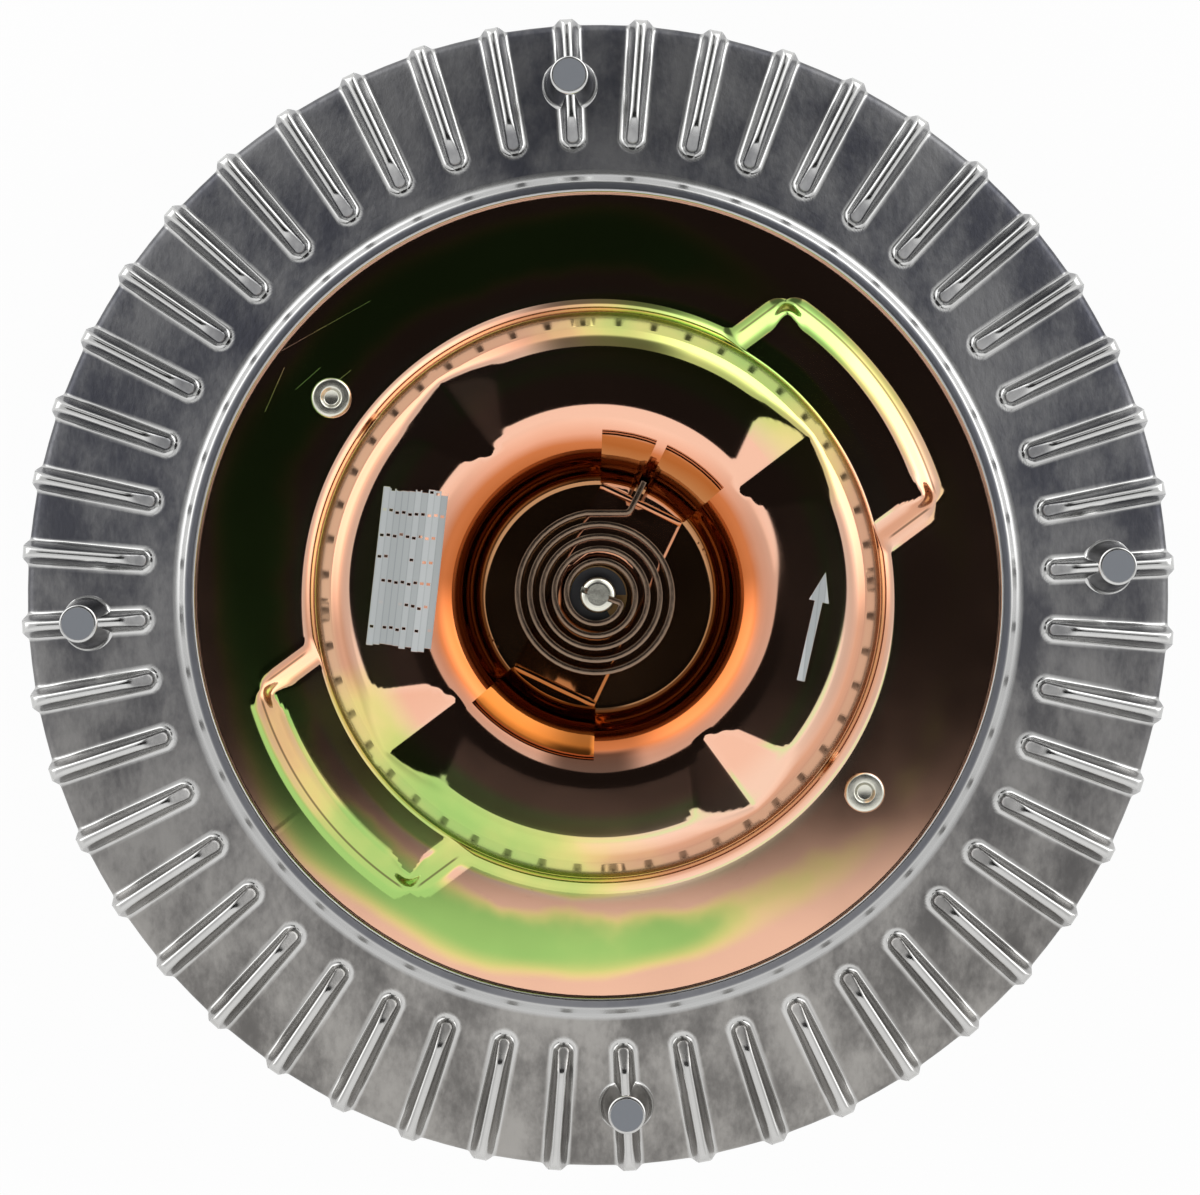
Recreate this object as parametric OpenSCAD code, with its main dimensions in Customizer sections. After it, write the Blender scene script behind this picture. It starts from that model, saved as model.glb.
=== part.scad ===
// Viscous fan clutch with a thermal control valve.
// The drive shaft bolts to the water pump hub and carries a grooved rotor inside a finned housing.
// Silicone fluid between the grooves of rotor and housing drags the housing, and the fan on it, round.
// A bimetal coil on the front cover turns a valve that lets the fluid in.
// Z runs along the axis from the pump face to the front. Millimetres.

/* [Pump flange and drive shaft] */
// Diameter of the flange that bolts to the pump hub
flange_d = 86; // [80:1:88]
// Thickness of the flange
flange_t = 9; // [7:0.5:12]
// Diameter of the circle of pump bolts
flange_pcd = 63.5; // [62:0.5:66]
// Diameter of each pump bolt hole
flange_hole_d = 8.7; // [7:0.1:10]
// Number of pump bolts
flange_holes = 4; // [3:1:6]
// Angle of the first pump bolt
flange_phase = 45; // [0:1:90]
// Diameter of the pilot bore that centres the flange on the pump shaft
pilot_d = 15.9; // [12:0.1:19]
// Depth of the pilot bore
pilot_depth = 13; // [8:1:18]
// Diameter of the neck behind the bearing
neck_d = 38; // [34:1:42]
// Radius of the fillet between the neck and the flange
neck_fillet = 4.5; // [2:0.5:5]
// Height of the bearing's rear face above the pump face
bearing_height = 42; // [38:1:50]
// Diameter of the shoulder that the bearing sits on
shaft_shoulder_d = 32; // [30:0.5:33]
// Length of that shoulder
shaft_shoulder_l = 5; // [3:0.5:8]
// Diameter of the journal that carries the rotor
journal_d = 19; // [16:0.5:22]
// Chamfer on the edges of flange and shaft
edge_chamfer = 1; // [0.4:0.1:1.5]

/* [Bearing] */
// Bore of the bearing
bearing_bore = 25; // [24:0.5:26]
// Outer diameter of the bearing
bearing_od = 52; // [51:0.5:55]
// Width of the bearing
bearing_w = 15; // [14:0.5:18]
// Diameter of the balls
ball_d = 7.94; // [7:0.02:8.2]
// Number of balls
ball_count = 9; // [7:1:10]
// Height of the raceway shoulders above the bottom of the groove
raceway_depth = 1.75; // [1.2:0.05:2]
// Thickness of the ball cage
cage_t = 1.6; // [1.2:0.1:2]
// Width of the ball cage
cage_w = 9.6; // [9:0.2:10]
// Thickness of the rubber seals
bearing_seal_t = 1; // [0.8:0.1:1.2]
// Depth of the seals below the faces of the rings
bearing_seal_inset = 0.4; // [0.2:0.1:0.6]
// Depth of the seats that hold the seals in the outer ring
bearing_seal_seat = 0.9; // [0.6:0.1:1.2]
// Thickness of the snap ring that holds the bearing
snap_ring_t = 1.8; // [1.4:0.1:2.2]
// Depth of the snap ring's groove
snap_groove = 1.7; // [1:0.1:2]
// Radial width of the snap ring
snap_ring_w = 4.2; // [3.5:0.1:4.6]
// Open angle of the snap ring
snap_ring_gap = 34; // [20:1:60]

/* [Housing] */
// Diameter of the finned disc without the ribs' overhang
disc_d = 207.4; // [204:0.2:207.6]
// Thickness of the disc at its rim
rim_t = 6; // [5:0.5:8]
// Fall of the front face from the lip's foot to the rim
front_fall = 6.9; // [5:0.1:8]
// Fall of the rear face of the disc from its root to the rim
rear_fall = 2.2; // [1:0.1:3]
// Diameter of the fluid chamber
chamber_d = 136; // [134:0.5:137]
// Outer diameter of the wall round the chamber
drum_d = 149; // [147:0.5:152]
// Radius of the edges of the rim
rim_round = 1.8; // [1:0.1:2]
// Radius of the hollow between the disc and the drum
web_round = 3; // [2:0.5:4]
// Radius of the edge between the drum and the rear wall
drum_round = 2; // [1:0.5:2.5]
// Thickness of the wall behind the chamber
rear_wall_t = 8; // [7:0.5:10]
// Outer diameter of the bearing hub at its rear end
hub_d = 67; // [64:0.5:69]
// Length of the hub behind the bearing
hub_overhang = 4; // [3.5:0.5:5]
// Thickness of the shoulder in front of the bearing
bearing_shoulder_t = 3; // [2.5:0.5:4]
// Bore of that shoulder
bearing_shoulder_d = 45; // [42:0.5:47]
// Inner diameter of the lip that is rolled over the cover
lip_d = 144.8; // [143:0.2:146]
// Diameter of the lip's foot on the front face
lip_foot_d = 156.4; // [155:0.2:158]
// Height of the rolled lip above the cover
lip_h = 2.4; // [1.8:0.1:3]
// Width of the slope from the lip's top down to its foot
lip_slope_w = 1.6; // [1.2:0.1:2]
// Radius of the lip's inner edge
lip_round = 1.4; // [0.8:0.1:1.6]
// Radius of the lip's outer edge
lip_outer_round = 1.2; // [0.8:0.1:1.3]
// Radius of the hollow at the lip's foot
lip_foot_round = 0.7; // [0.4:0.1:0.8]
// Height of the front face above the cover at the lip's foot
face_step = 0.6; // [0.2:0.1:1]

/* [Housing ribs] */
// Number of ribs
rib_count = 48; // [24:4:56]
// Angle of the first rib
rib_phase = 3.17; // [0:0.01:7.5]
// Diameter over the tips of the ribs
rib_tip_d = 208.2; // [208:0.1:212]
// Radius where the front ribs start at the face
rib_start_r = 80.6; // [79.5:0.1:84]
// Length of the ramp up to the crest
rib_ramp = 5.3; // [4:0.1:8]
// Height of the front ribs above the face at the top of the ramp
rib_h = 4.5; // [3:0.1:6]
// Fall of the crest from the ramp to the tip
rib_crest_fall = 2.6; // [1:0.1:4]
// Radius of the rounded crest
rib_crest_r = 0.95; // [0.7:0.05:1.2]
// Radius of the rounded tips of the ribs
rib_tip_round = 2.4; // [1.5:0.1:3]
// Draft angle of the front ribs' flanks
rib_draft = 11; // [8:1:15]
// Draft angle of the rear ribs' flanks
rear_rib_draft = 3.5; // [2:0.5:6]
// Height of the rear ribs behind the rear wall
rear_rib_h = 2.5; // [1.5:0.1:4]
// Radius where the rear ribs start
rear_rib_start_r = 64.5; // [63.5:0.1:66]
// Length of the ramp of the rear ribs
rear_rib_ramp = 4.5; // [3:0.1:6]
// Number of round pads for the ejector pins of the casting die
pad_count = 4; // [2:1:8]
// Radius of the circle of pads
pad_circle_r = 92.5; // [88:0.5:96]
// Diameter of a pad at its top
pad_d = 6.8; // [5:0.1:8]
// Diameter of a pad at its foot
pad_foot_d = 10.4; // [8.5:0.1:12]
// Height of the pads above the crest of the ribs
pad_rise = 0.7; // [0.3:0.1:1.5]

/* [Fan seat] */
// Diameter of the register that centres the fan
fan_pilot_d = 92; // [90:0.5:94]
// Length of the register
fan_pilot_l = 4; // [3:0.5:6]
// Diameter of the ring behind the register that the fan sits on
fan_ring_d = 98; // [96:0.5:100]
// Height of the fan seat behind the rear wall
fan_seat_h = 6; // [4.5:0.5:7]
// Diameter of the circle of fan bolts
fan_pcd = 114.3; // [112:0.5:116]
// Number of fan bolts
fan_holes = 4; // [3:1:6]
// Angle of the first fan bolt
fan_phase = 45; // [0:1:90]
// Diameter of each threaded fan bolt hole
fan_hole_d = 6.8; // [5:0.1:8.5]
// Depth of each fan bolt hole
fan_hole_depth = 11; // [8:0.5:11.5]
// Diameter of the boss round each fan bolt hole
fan_boss_d = 20; // [16:0.5:22]
// Radius of the hollow round the fan seat
fan_seat_round = 1.5; // [1:0.5:2]
// Depth of the casting relief between hub and register
relief_depth = 9; // [4:0.5:10]
// Radius of the corners in that relief
relief_round = 2; // [1:0.5:2.5]
// Thickness of the register's wall at its end
register_wall = 3.5; // [3:0.1:4.5]
// Widening of the register's wall down to the bottom of the relief
register_draft = 1; // [0.5:0.1:1.2]
// Widening of the hub from its end to the bottom of the relief
hub_draft = 2; // [1:0.1:2.4]
// Radius of the hub's rear edge
hub_round = 1; // [0.5:0.1:1.5]

/* [Rotor and lands] */
// Diameter of the rotor
rotor_d = 133; // [130:0.5:133.5]
// Thickness of the rotor's web
rotor_web_t = 4; // [3:0.5:6]
// Diameter of the rotor's hub
rotor_hub_d = 31; // [28:0.5:33]
// Length of the rotor's hub behind the web
rotor_hub_l = 9.8; // [8:0.1:10]
// Height of the ring lands on rotor and housing
land_h = 6; // [5.5:0.5:9]
// Thickness of each land
land_t = 2.2; // [1.6:0.1:2.4]
// Distance from a rotor land to the next rotor land
land_pitch = 6; // [5.8:0.1:6.1]
// Radius of the innermost rotor land
land_start_r = 28; // [27:0.5:28.5]
// Diameter of the bleed holes in the rotor's web
bleed_hole_d = 5; // [3:0.5:6]
// Number of bleed holes
bleed_holes = 6; // [4:1:8]
// Thickness of the ring that holds the rotor on its journal
rotor_ring_t = 1.2; // [1:0.1:1.3]
// Outer diameter of that ring
rotor_ring_d = 25; // [24:0.5:28]
// Depth of its groove in the journal
rotor_groove = 0.9; // [0.6:0.1:1.2]

/* [Divider plate] */
// Diameter of the plate between chamber and reservoir
plate_d = 140; // [139:0.5:141]
// Thickness of the plate
plate_t = 1.5; // [1.3:0.1:2]
// Gap between the rotor and the plate
pump_gap = 2.6; // [2.4:0.1:3.2]
// Diameter of the two gate ports that the valve covers
port_d = 7; // [5:0.5:8]
// Radius of the gate ports from the axis
port_r = 34; // [30:0.5:38]
// Angle of the first gate port
port_angle = 71; // [60:1:90]
// Diameter of the two pump holes
pump_hole_d = 3.2; // [2:0.1:4]
// Radius of the pump holes from the axis
pump_hole_r = 58; // [56:0.5:59]
// Angle of a pump hole from the middle of its ear
pump_hole_angle = 6; // [4:0.5:8]
// Angle of a wiper dimple from the middle of its ear
wiper_angle = 13; // [12:0.5:15]
// Angle that a wiper dimple spans
wiper_span = 5; // [4:0.5:6]
// Radial length of a wiper dimple
wiper_l = 8; // [6:0.5:9]
// Distance of the wiper dimples inside the ear's outer wall
wiper_inset = 1; // [0.5:0.1:1.5]
// Thickness of the wall round the hollow of a wiper dimple
wiper_wall = 1; // [0.8:0.1:1.2]
// Depth of the hollow on the front of a wiper dimple
wiper_hollow = 0.9; // [0.5:0.1:1.1]

/* [Front cover] */
// Diameter of the cover's blank
cover_d = 150; // [148.5:0.1:151]
// Thickness of the sheet steel
sheet_t = 1.6; // [1.3:0.1:1.8]
// Height of the raised hat above the flat ring
hat_h = 13.5; // [12:0.5:15]
// Diameter of the hat at its foot
hat_foot_d = 106.4; // [105:0.2:109]
// Diameter of the hat at its top edge
hat_d = 92; // [90:0.2:94]
// Height of the steep lower wall of the hat
hat_wall_h = 6.6; // [5:0.1:8]
// Share of the hat's foot ring that the upper cone takes
hat_cone_share = 0.778; // [0.6:0.001:0.9]
// Diameter of the bowl at its rim
bowl_rim_d = 55.4; // [54.4:0.2:57]
// Diameter of the bowl's floor
bowl_floor_d = 42.2; // [41:0.2:43]
// Height of the bowl's floor above the flat ring
bowl_floor_h = 3.4; // [3.2:0.1:4]
// Radius of the bend at the hat's foot
hat_foot_bend = 2.5; // [2:0.1:3]
// Radius of the bend between the hat's cone and its lower wall
hat_wall_bend = 3; // [2:0.1:4]
// Radius of the bend at the hat's top edge
hat_bend = 6.5; // [4:0.1:7]
// Radius of the bend at the bowl's rim
bowl_rim_bend = 12.5; // [8:0.5:13]
// Radius of the bend round the bowl's floor
bowl_floor_bend = 3; // [2.5:0.1:4]
// Share of the way from the hat's foot bend to the chamber's wall at which the rivets sit
rivet_share = 0.3252; // [0.3:0.0001:0.5]
// Angle of the first rivet
rivet_angle = 143.5; // [130:0.5:155]
// Diameter of a rivet's shank
rivet_d = 3.8; // [3:0.1:4.5]
// Diameter of a rivet's front head
rivet_head_d = 7.2; // [6:0.1:8]
// Height of a rivet's front head
rivet_head_h = 1.5; // [1:0.1:2]
// Bevel round a rivet's front head
rivet_bevel = 0.6; // [0.3:0.1:0.8]
// Diameter of the dimple in the front head
rivet_dimple_d = 3.2; // [2:0.1:4]
// Depth of that dimple
rivet_dimple_depth = 0.7; // [0.4:0.1:0.9]
// Diameter of a rivet's rear head
rivet_tail_d = 6.4; // [5.5:0.1:7]
// Height of a rivet's rear head
rivet_tail_h = 0.9; // [0.6:0.1:1.2]
// Taper of the rear head and of the dimple's wall
rivet_taper = 0.3; // [0.1:0.1:0.5]
// Diameter of the section of the cover's seal ring
cover_seal_d = 1.6; // [1.2:0.1:1.8]
// Diameter of the seal ring at the middle of its section
cover_seal_circle_d = 145.6; // [145:0.1:146]

/* [Cover ears and grooves] */
// Angle of the first of the two raised ears
ear_angle = 36.5; // [25:0.5:45]
// Width of an ear between its sides
ear_w = 43.8; // [38:0.2:46]
// Radius of an ear's outer wall
ear_r = 62.4; // [61.5:0.1:64]
// Height of an ear above the flat ring
ear_h = 2.6; // [2.2:0.1:3.2]
// Slope of an ear's walls
ear_slope = 36; // [32:1:50]
// Number of grooves pressed into the top of the hat
groove_count = 4; // [2:1:6]
// Angle of the first groove
groove_angle = 36.7; // [30:0.5:60]
// Radius of the middle of a groove
groove_r = 38.3; // [37:0.1:40]
// Depth of the middle of a groove
groove_depth = 1; // [0.6:0.1:1.3]
// Fall of a groove's bottom line towards the outside
groove_fall = 4.5; // [2:0.5:6]
// Slope of a groove's flanks
groove_slope = 8; // [6:0.5:12]

/* [Valve] */
// Diameter of the valve shaft
valve_d = 6.5; // [6:0.1:7]
// Diameter of the spigot that carries the valve arm
valve_spigot_d = 4.8; // [4:0.1:5.2]
// Diameter of the collar above the arm
valve_collar_d = 8.8; // [8:0.1:10]
// Height of that collar
valve_collar_h = 0.7; // [0.5:0.1:0.8]
// Rise of the shaft's end above the coil
valve_end_rise = 0.6; // [0.3:0.1:1.2]
// Radius of the shaft's rounded end
valve_end_round = 1.3; // [0.8:0.1:1.6]
// Diameter of the bridge across the open end of the shaft's slot
valve_bridge_d = 3.9; // [3:0.1:4.5]
// Thickness of that bridge
valve_bridge_t = 0.6; // [0.4:0.1:0.8]
// Thickness of the valve arm
arm_t = 0.9; // [0.7:0.1:1]
// Width of the valve arm at the hub
arm_w = 11; // [9:0.5:13]
// Width of the round ends that cover the ports
arm_end_d = 11.6; // [10:0.2:12]
// Outer diameter of the valve bushing
bushing_d = 10.4; // [9.4:0.1:11]
// Diameter of the bushing's flange
bushing_flange_d = 16; // [14:0.5:18]
// Thickness of the bushing's flange
bushing_flange_t = 1.2; // [1:0.1:1.3]
// Height of the bushing above the bowl's floor
bushing_rise = 0.6; // [0.4:0.1:0.7]
// Diameter of the section of the valve shaft's seal ring
valve_seal_d = 0.96; // [0.8:0.02:1.1]
// Thickness of the valve shaft's clip
clip_t = 0.5; // [0.4:0.05:0.6]
// Outer diameter of the clip
clip_d = 10; // [9:0.2:11]
// Depth of the clip's groove
clip_groove = 0.65; // [0.4:0.05:0.8]
// Open angle of the clip
clip_opening = 60; // [40:5:90]

/* [Coil bracket and bimetal coil] */
// Width of the bracket's strap
strap_w = 16; // [14:0.2:17]
// Thickness of the bracket's strap
strap_t = 1.2; // [1:0.1:1.5]
// Angle of the strap's length
strap_angle = 64.5; // [55:0.5:70]
// Hole in the strap round the bushing
strap_hole_d = 13; // [12:0.5:15]
// Radius where the bracket's tabs end
tab_r = 29; // [27.5:0.1:30]
// Angle that each tab spans round the bowl
tab_angle = 48; // [40:1:56]
// Width of the slot that holds the coil's tail
tail_slot_w = 2; // [1.6:0.1:2.4]
// Thickness of the bimetal strip
coil_t = 1; // [0.7:0.05:1.1]
// Width of the bimetal strip
coil_w = 6.5; // [5:0.1:8]
// Radius of the inner end of the coil
coil_inner_r = 4.6; // [4.5:0.1:5]
// Radius of the outer turn of the coil
coil_outer_r = 14.8; // [14.2:0.1:15.4]
// Number of whole turns
coil_turns = 4; // [3:1:4]
// Angle of the slot that holds the coil's inner end
valve_slot_angle = -19; // [-30:1:0]
// Angle where the outer turn runs out into its straight end
coil_end_angle = 98; // [94:1:104]
// Length of the straight run before the tail
coil_run = 7.6; // [7:0.1:8.2]
// Direction of the tail
tail_angle = 64; // [60:1:68]
// Reach of the tail past the bowl's floor
tail_reach = 0.7; // [0.3:0.1:0.9]
// Radius of the bend at the tail
coil_bend = 1.1; // [0.8:0.1:1.3]
// Radius of the bend at the inner end
coil_inner_bend = 0.66; // [0.55:0.01:0.8]
// Length of the inner end past the axis
coil_tang_l = 2.5; // [1.5:0.1:2.8]

/* [Clearances] */
// Radial clearance of pieces that are pressed or clamped together
press_gap = 0.02; // [0.01:0.01:0.04]
// Clearance of pieces that are set into a seat
seat_gap = 0.3; // [0.1:0.05:0.3]
// Clearance of a seal ring beside the walls of its groove
seal_gap = 0.2; // [0.1:0.05:0.3]
// Radial clearance of the valve shaft in its bushing
valve_gap = 0.05; // [0.03:0.01:0.08]
// Axial gap between lands and the faces opposite
land_gap = 0.8; // [0.6:0.1:1.2]
// Gap between the valve arm and the plate
arm_gap = 0.3; // [0.2:0.05:0.4]
// Gap between the coil and its bracket
coil_gap = 0.5; // [0.4:0.05:0.8]
// Gap between a ball and its raceway
ball_gap = 0.12; // [0.08:0.01:0.2]
// Gap between a ball and its pocket in the cage
pocket_gap = 0.2; // [0.1:0.05:0.3]
// Gap between the bushing and the valve shaft's clip
clip_gap = 0.1; // [0.05:0.05:0.2]
// Gap between the coil's inner end and the bottom of its slot
slot_gap = 0.2; // [0.1:0.05:0.3]
// Gap between the plate and the end of the drive shaft
shaft_end_gap = 0.6; // [0.4:0.1:0.8]
// Gap between the wiper dimples and the rotor
wiper_gap = 0.6; // [0.4:0.1:0.8]

/* [Hidden] */
$fn = 96;
// Steps of a bend, of a rib's crest and tip, and of one turn of the coil
bend_steps = 6;
rib_crest_steps = 3;
rib_tip_steps = 2;
spiral_steps = 24;
// Room over the crests in the space that trims the ribs, and overrun of its ramps as a share of their length
crest_margin = 0.6;
ramp_overrun = 0.15;
// Depth of the pads' feet below the face
pad_sink = 1.5;
// Overlap of cuts and joined solids, and height of a wedge that clears the cover
cut = 1;
deep = 12;

// Levels along the axis, from the pump face up
bearing_front_z = bearing_height + bearing_w;
hub_z = bearing_height - hub_overhang;
floor_z = bearing_front_z + bearing_shoulder_t;
rear_wall_z = floor_z - rear_wall_t;
fan_seat_z = rear_wall_z - fan_seat_h;
rotor_rear_z = floor_z + land_h + land_gap;
rotor_front_z = rotor_rear_z + rotor_web_t;
plate_z = rotor_front_z + pump_gap;
seat_z = plate_z + plate_t;
ring_z = seat_z + sheet_t;
hat_z = ring_z + hat_h;
bowl_z = ring_z + bowl_floor_h;
strap_z = bowl_z + press_gap;
coil_z = strap_z + strap_t + coil_gap;
coil_top_z = coil_z + coil_w;
valve_top_z = coil_top_z + valve_end_rise;
face_z = ring_z + face_step;
rim_front_z = face_z - front_fall;
rim_rear_z = rim_front_z - rim_t;
rear_crest_z = rear_wall_z - rear_rib_h;

// Radii and slopes
shaft_r = bearing_bore / 2;
hub_bore_r = bearing_od / 2 + press_gap;
disc_r = disc_d / 2;
tip_r = rib_tip_d / 2;
lip_foot_r = lip_foot_d / 2;
face_slope = front_fall / (disc_r - lip_foot_r);
crest_r = rib_start_r + rib_ramp;
crest_z = face_at(crest_r) + rib_h;
crest_slope = rib_crest_fall / (tip_r - crest_r);
pitch_r = (bearing_bore + bearing_od) / 4;
ball_z = bearing_height + bearing_w / 2;
raceway_r = ball_d / 2 + ball_gap;
inner_land_r = pitch_r - raceway_r + raceway_depth;
outer_land_r = pitch_r + raceway_r - raceway_depth;
land_step = land_pitch / 2;
land_count = floor((rotor_d / 2 - land_t / 2 - land_start_r) / land_pitch) + 1;
bleed_r = (rotor_hub_d / 2 + land_start_r - land_t / 2) / 2;
ear_cot = 1 / tan(ear_slope);
hat_flat_r = hat_foot_d / 2 + hat_foot_bend;
rivet_circle_r = hat_flat_r + (chamber_d / 2 - hat_flat_r) * rivet_share;
hat_wall_r = (hat_d + (hat_foot_d - hat_d) * hat_cone_share) / 2;
arm_z = seat_z + arm_gap;
collar_z = arm_z + arm_t;
bushing_z = bowl_z - sheet_t - bushing_flange_t;
bushing_top_z = bowl_z + bushing_rise;
clip_z = bushing_top_z + clip_gap;
valve_groove_r = valve_d / 2 + valve_gap - valve_seal_d - 2 * press_gap;
valve_seal_z = (bushing_z + bushing_top_z) / 2;
coil_sweep = (valve_slot_angle - coil_end_angle) % 360 + 360 * (coil_turns + 1);

function face_at(r) = face_z - (r - lip_foot_r) * face_slope;
function polar(r, a) = [r * cos(a), r * sin(a)];
function unit(v) = v / norm(v);
function left_of(a, b) = let (u = unit(b - a)) [-u.y, u.x];
function backwards(path) = [for (i = [len(path) - 1:-1:0]) path[i]];

// Arc of radius r that rounds the corner b between a and c
function bend(a, b, c, r, steps = bend_steps) =
    let (
        u = unit(a - b),
        v = unit(c - b),
        half = acos(u * v) / 2,
        centre = b + unit(u + v) * r / sin(half),
        from = b + u * r / tan(half) - centre,
        to = b + v * r / tan(half) - centre,
        start = atan2(from.y, from.x),
        sweep = (atan2(to.y, to.x) - start + 540) % 360 - 180
    )
    [for (i = [0:steps]) centre + polar(r, start + sweep * i / steps)];

// Path with its corners rounded, where a radius of 0 keeps the corner
function rounded(path, radii) =
    let (count = len(path))
    [for (i = [0:count - 1]) each
        radii[i] > 0
            ? bend(path[(i + count - 1) % count], path[i], path[(i + 1) % count], radii[i])
            : [path[i]]];

// Path moved sideways by d, to its left when d is positive
function shifted(path, d) =
    let (last = len(path) - 1)
    [for (i = [0:last])
        let (
            before = left_of(path[max(i - 1, 0)], path[max(i, 1)]),
            after = left_of(path[min(i, last - 1)], path[min(i + 1, last)]),
            m = unit(before + after)
        )
        path[i] + m * d / (m * before)];

module ring(r_in, r_out, z0, z1) {
    rotate_extrude()
        translate([r_in, z0])
            square([r_out - r_in, z1 - z0]);
}

module around(count, phase = 0) {
    for (i = [0:count - 1])
        rotate(phase + 360 * i / count)
            children();
}

// Lays a section drawn in YZ along the X axis
module along_x(length) {
    rotate([90, 0, 90])
        linear_extrude(length)
            children();
}

// Drive shaft with its pump flange

module drive_shaft() {
    flange_r = flange_d / 2;
    neck_r = neck_d / 2;
    journal_r = journal_d / 2;
    end_z = plate_z - shaft_end_gap;
    shoulder_z = bearing_height - shaft_shoulder_l;
    outline = [
        [pilot_d / 2 + edge_chamfer, 0],
        [flange_r - edge_chamfer, 0],
        [flange_r, edge_chamfer],
        [flange_r, flange_t - edge_chamfer],
        [flange_r - edge_chamfer, flange_t],
        [neck_r, flange_t],
        [neck_r, shoulder_z - edge_chamfer],
        [neck_r - edge_chamfer, shoulder_z],
        [shaft_shoulder_d / 2, shoulder_z],
        [shaft_shoulder_d / 2, bearing_height],
        [shaft_r, bearing_height],
        [shaft_r, bearing_front_z],
        [journal_r, bearing_front_z],
        [journal_r, end_z - edge_chamfer],
        [journal_r - edge_chamfer, end_z],
        [0, end_z],
        [0, pilot_depth],
        [pilot_d / 2, pilot_depth],
        [pilot_d / 2, edge_chamfer]
    ];
    corner = 5;
    radii = [for (i = [0:len(outline) - 1]) i == corner ? neck_fillet : 0];
    color("dimgray")
        difference() {
            rotate_extrude()
                polygon(rounded(outline, radii));
            around(flange_holes, flange_phase)
                translate([flange_pcd / 2, 0, -cut])
                    cylinder(d = flange_hole_d, h = flange_t + 2 * cut);
            ring(journal_r - rotor_groove, journal_r + cut, rotor_front_z, rotor_front_z + rotor_ring_t);
        }
}

// Ball bearing between shaft and housing

module raceway() {
    rotate_extrude()
        translate([pitch_r, ball_z])
            circle(raceway_r);
}

module bearing_inner_ring() {
    color("silver")
        difference() {
            ring(shaft_r + press_gap, inner_land_r, bearing_height, bearing_front_z);
            raceway();
        }
}

module bearing_outer_ring() {
    seat = bearing_seal_inset + bearing_seal_t;
    seat_r = outer_land_r + bearing_seal_seat;
    color("silver")
        difference() {
            ring(outer_land_r, bearing_od / 2, bearing_height, bearing_front_z);
            raceway();
            ring(outer_land_r - cut, seat_r, bearing_height - cut, bearing_height + seat);
            ring(outer_land_r - cut, seat_r, bearing_front_z - seat, bearing_front_z + cut);
        }
}

module bearing_balls() {
    color("lightgray")
        around(ball_count)
            translate([pitch_r, 0, ball_z])
                sphere(d = ball_d);
}

module bearing_cage() {
    color("tan")
        difference() {
            ring(pitch_r - cage_t / 2, pitch_r + cage_t / 2, ball_z - cage_w / 2, ball_z + cage_w / 2);
            around(ball_count)
                translate([pitch_r - cage_t, 0, ball_z])
                    rotate([0, 90, 0])
                        cylinder(r = ball_d / 2 + pocket_gap, h = 2 * cage_t);
        }
}

module bearing_seal(z) {
    color("black")
        ring(inner_land_r + press_gap, outer_land_r + bearing_seal_seat - press_gap, z, z + bearing_seal_t);
}

module bearing_rear_seal() {
    bearing_seal(bearing_height + bearing_seal_inset);
}

module bearing_front_seal() {
    bearing_seal(bearing_front_z - bearing_seal_inset - bearing_seal_t);
}

module bearing_snap_ring() {
    outer_r = hub_bore_r + snap_groove - press_gap;
    color("dimgray")
        rotate(snap_ring_gap / 2)
            rotate_extrude(angle = 360 - snap_ring_gap)
                translate([outer_r - snap_ring_w, bearing_height - snap_ring_t])
                    square([snap_ring_w, snap_ring_t - press_gap]);
}

// Housing: one aluminium die casting, finned on both faces

// Half section of the casting without its ribs
function housing_outline() =
    let (
        chamber_r = chamber_d / 2,
        plate_seat_r = plate_d / 2 + seat_gap,
        cover_seat_r = cover_d / 2 + seat_gap,
        lip_r = lip_d / 2,
        drum_r = drum_d / 2,
        hub_r = hub_d / 2,
        pilot_r = fan_pilot_d / 2,
        pilot_z = fan_seat_z - fan_pilot_l,
        relief_z = pilot_z + relief_depth,
        web_z = rim_rear_z + rear_fall,
        corners = [
            [hub_bore_r, hub_z, 0],
            [hub_bore_r, bearing_front_z, 0],
            [bearing_shoulder_d / 2, bearing_front_z, 0],
            [bearing_shoulder_d / 2, floor_z, 0],
            [chamber_r, floor_z, 0],
            [chamber_r, plate_z, 0],
            [plate_seat_r, plate_z, 0],
            [plate_seat_r, seat_z, 0],
            [cover_seat_r, seat_z, 0],
            [cover_seat_r, ring_z, 0],
            [lip_r, ring_z, 0],
            [lip_r, ring_z + lip_h, lip_round],
            [lip_foot_r - lip_slope_w, ring_z + lip_h, lip_outer_round],
            [lip_foot_r, face_z, lip_foot_round],
            [disc_r, rim_front_z, rim_round],
            [disc_r, rim_rear_z, rim_round],
            [drum_r, web_z, web_round],
            [drum_r, rear_wall_z, drum_round],
            [fan_ring_d / 2, rear_wall_z, fan_seat_round],
            [fan_ring_d / 2, fan_seat_z, 0],
            [pilot_r, fan_seat_z, 0],
            [pilot_r, pilot_z, 0],
            [pilot_r - register_wall, pilot_z, 0],
            [pilot_r - register_wall - register_draft, relief_z, relief_round],
            [hub_r + hub_draft, relief_z, relief_round],
            [hub_r, hub_z, hub_round]
        ]
    )
    rounded([for (c = corners) [c.x, c.y]], [for (c = corners) c.z]);

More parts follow.
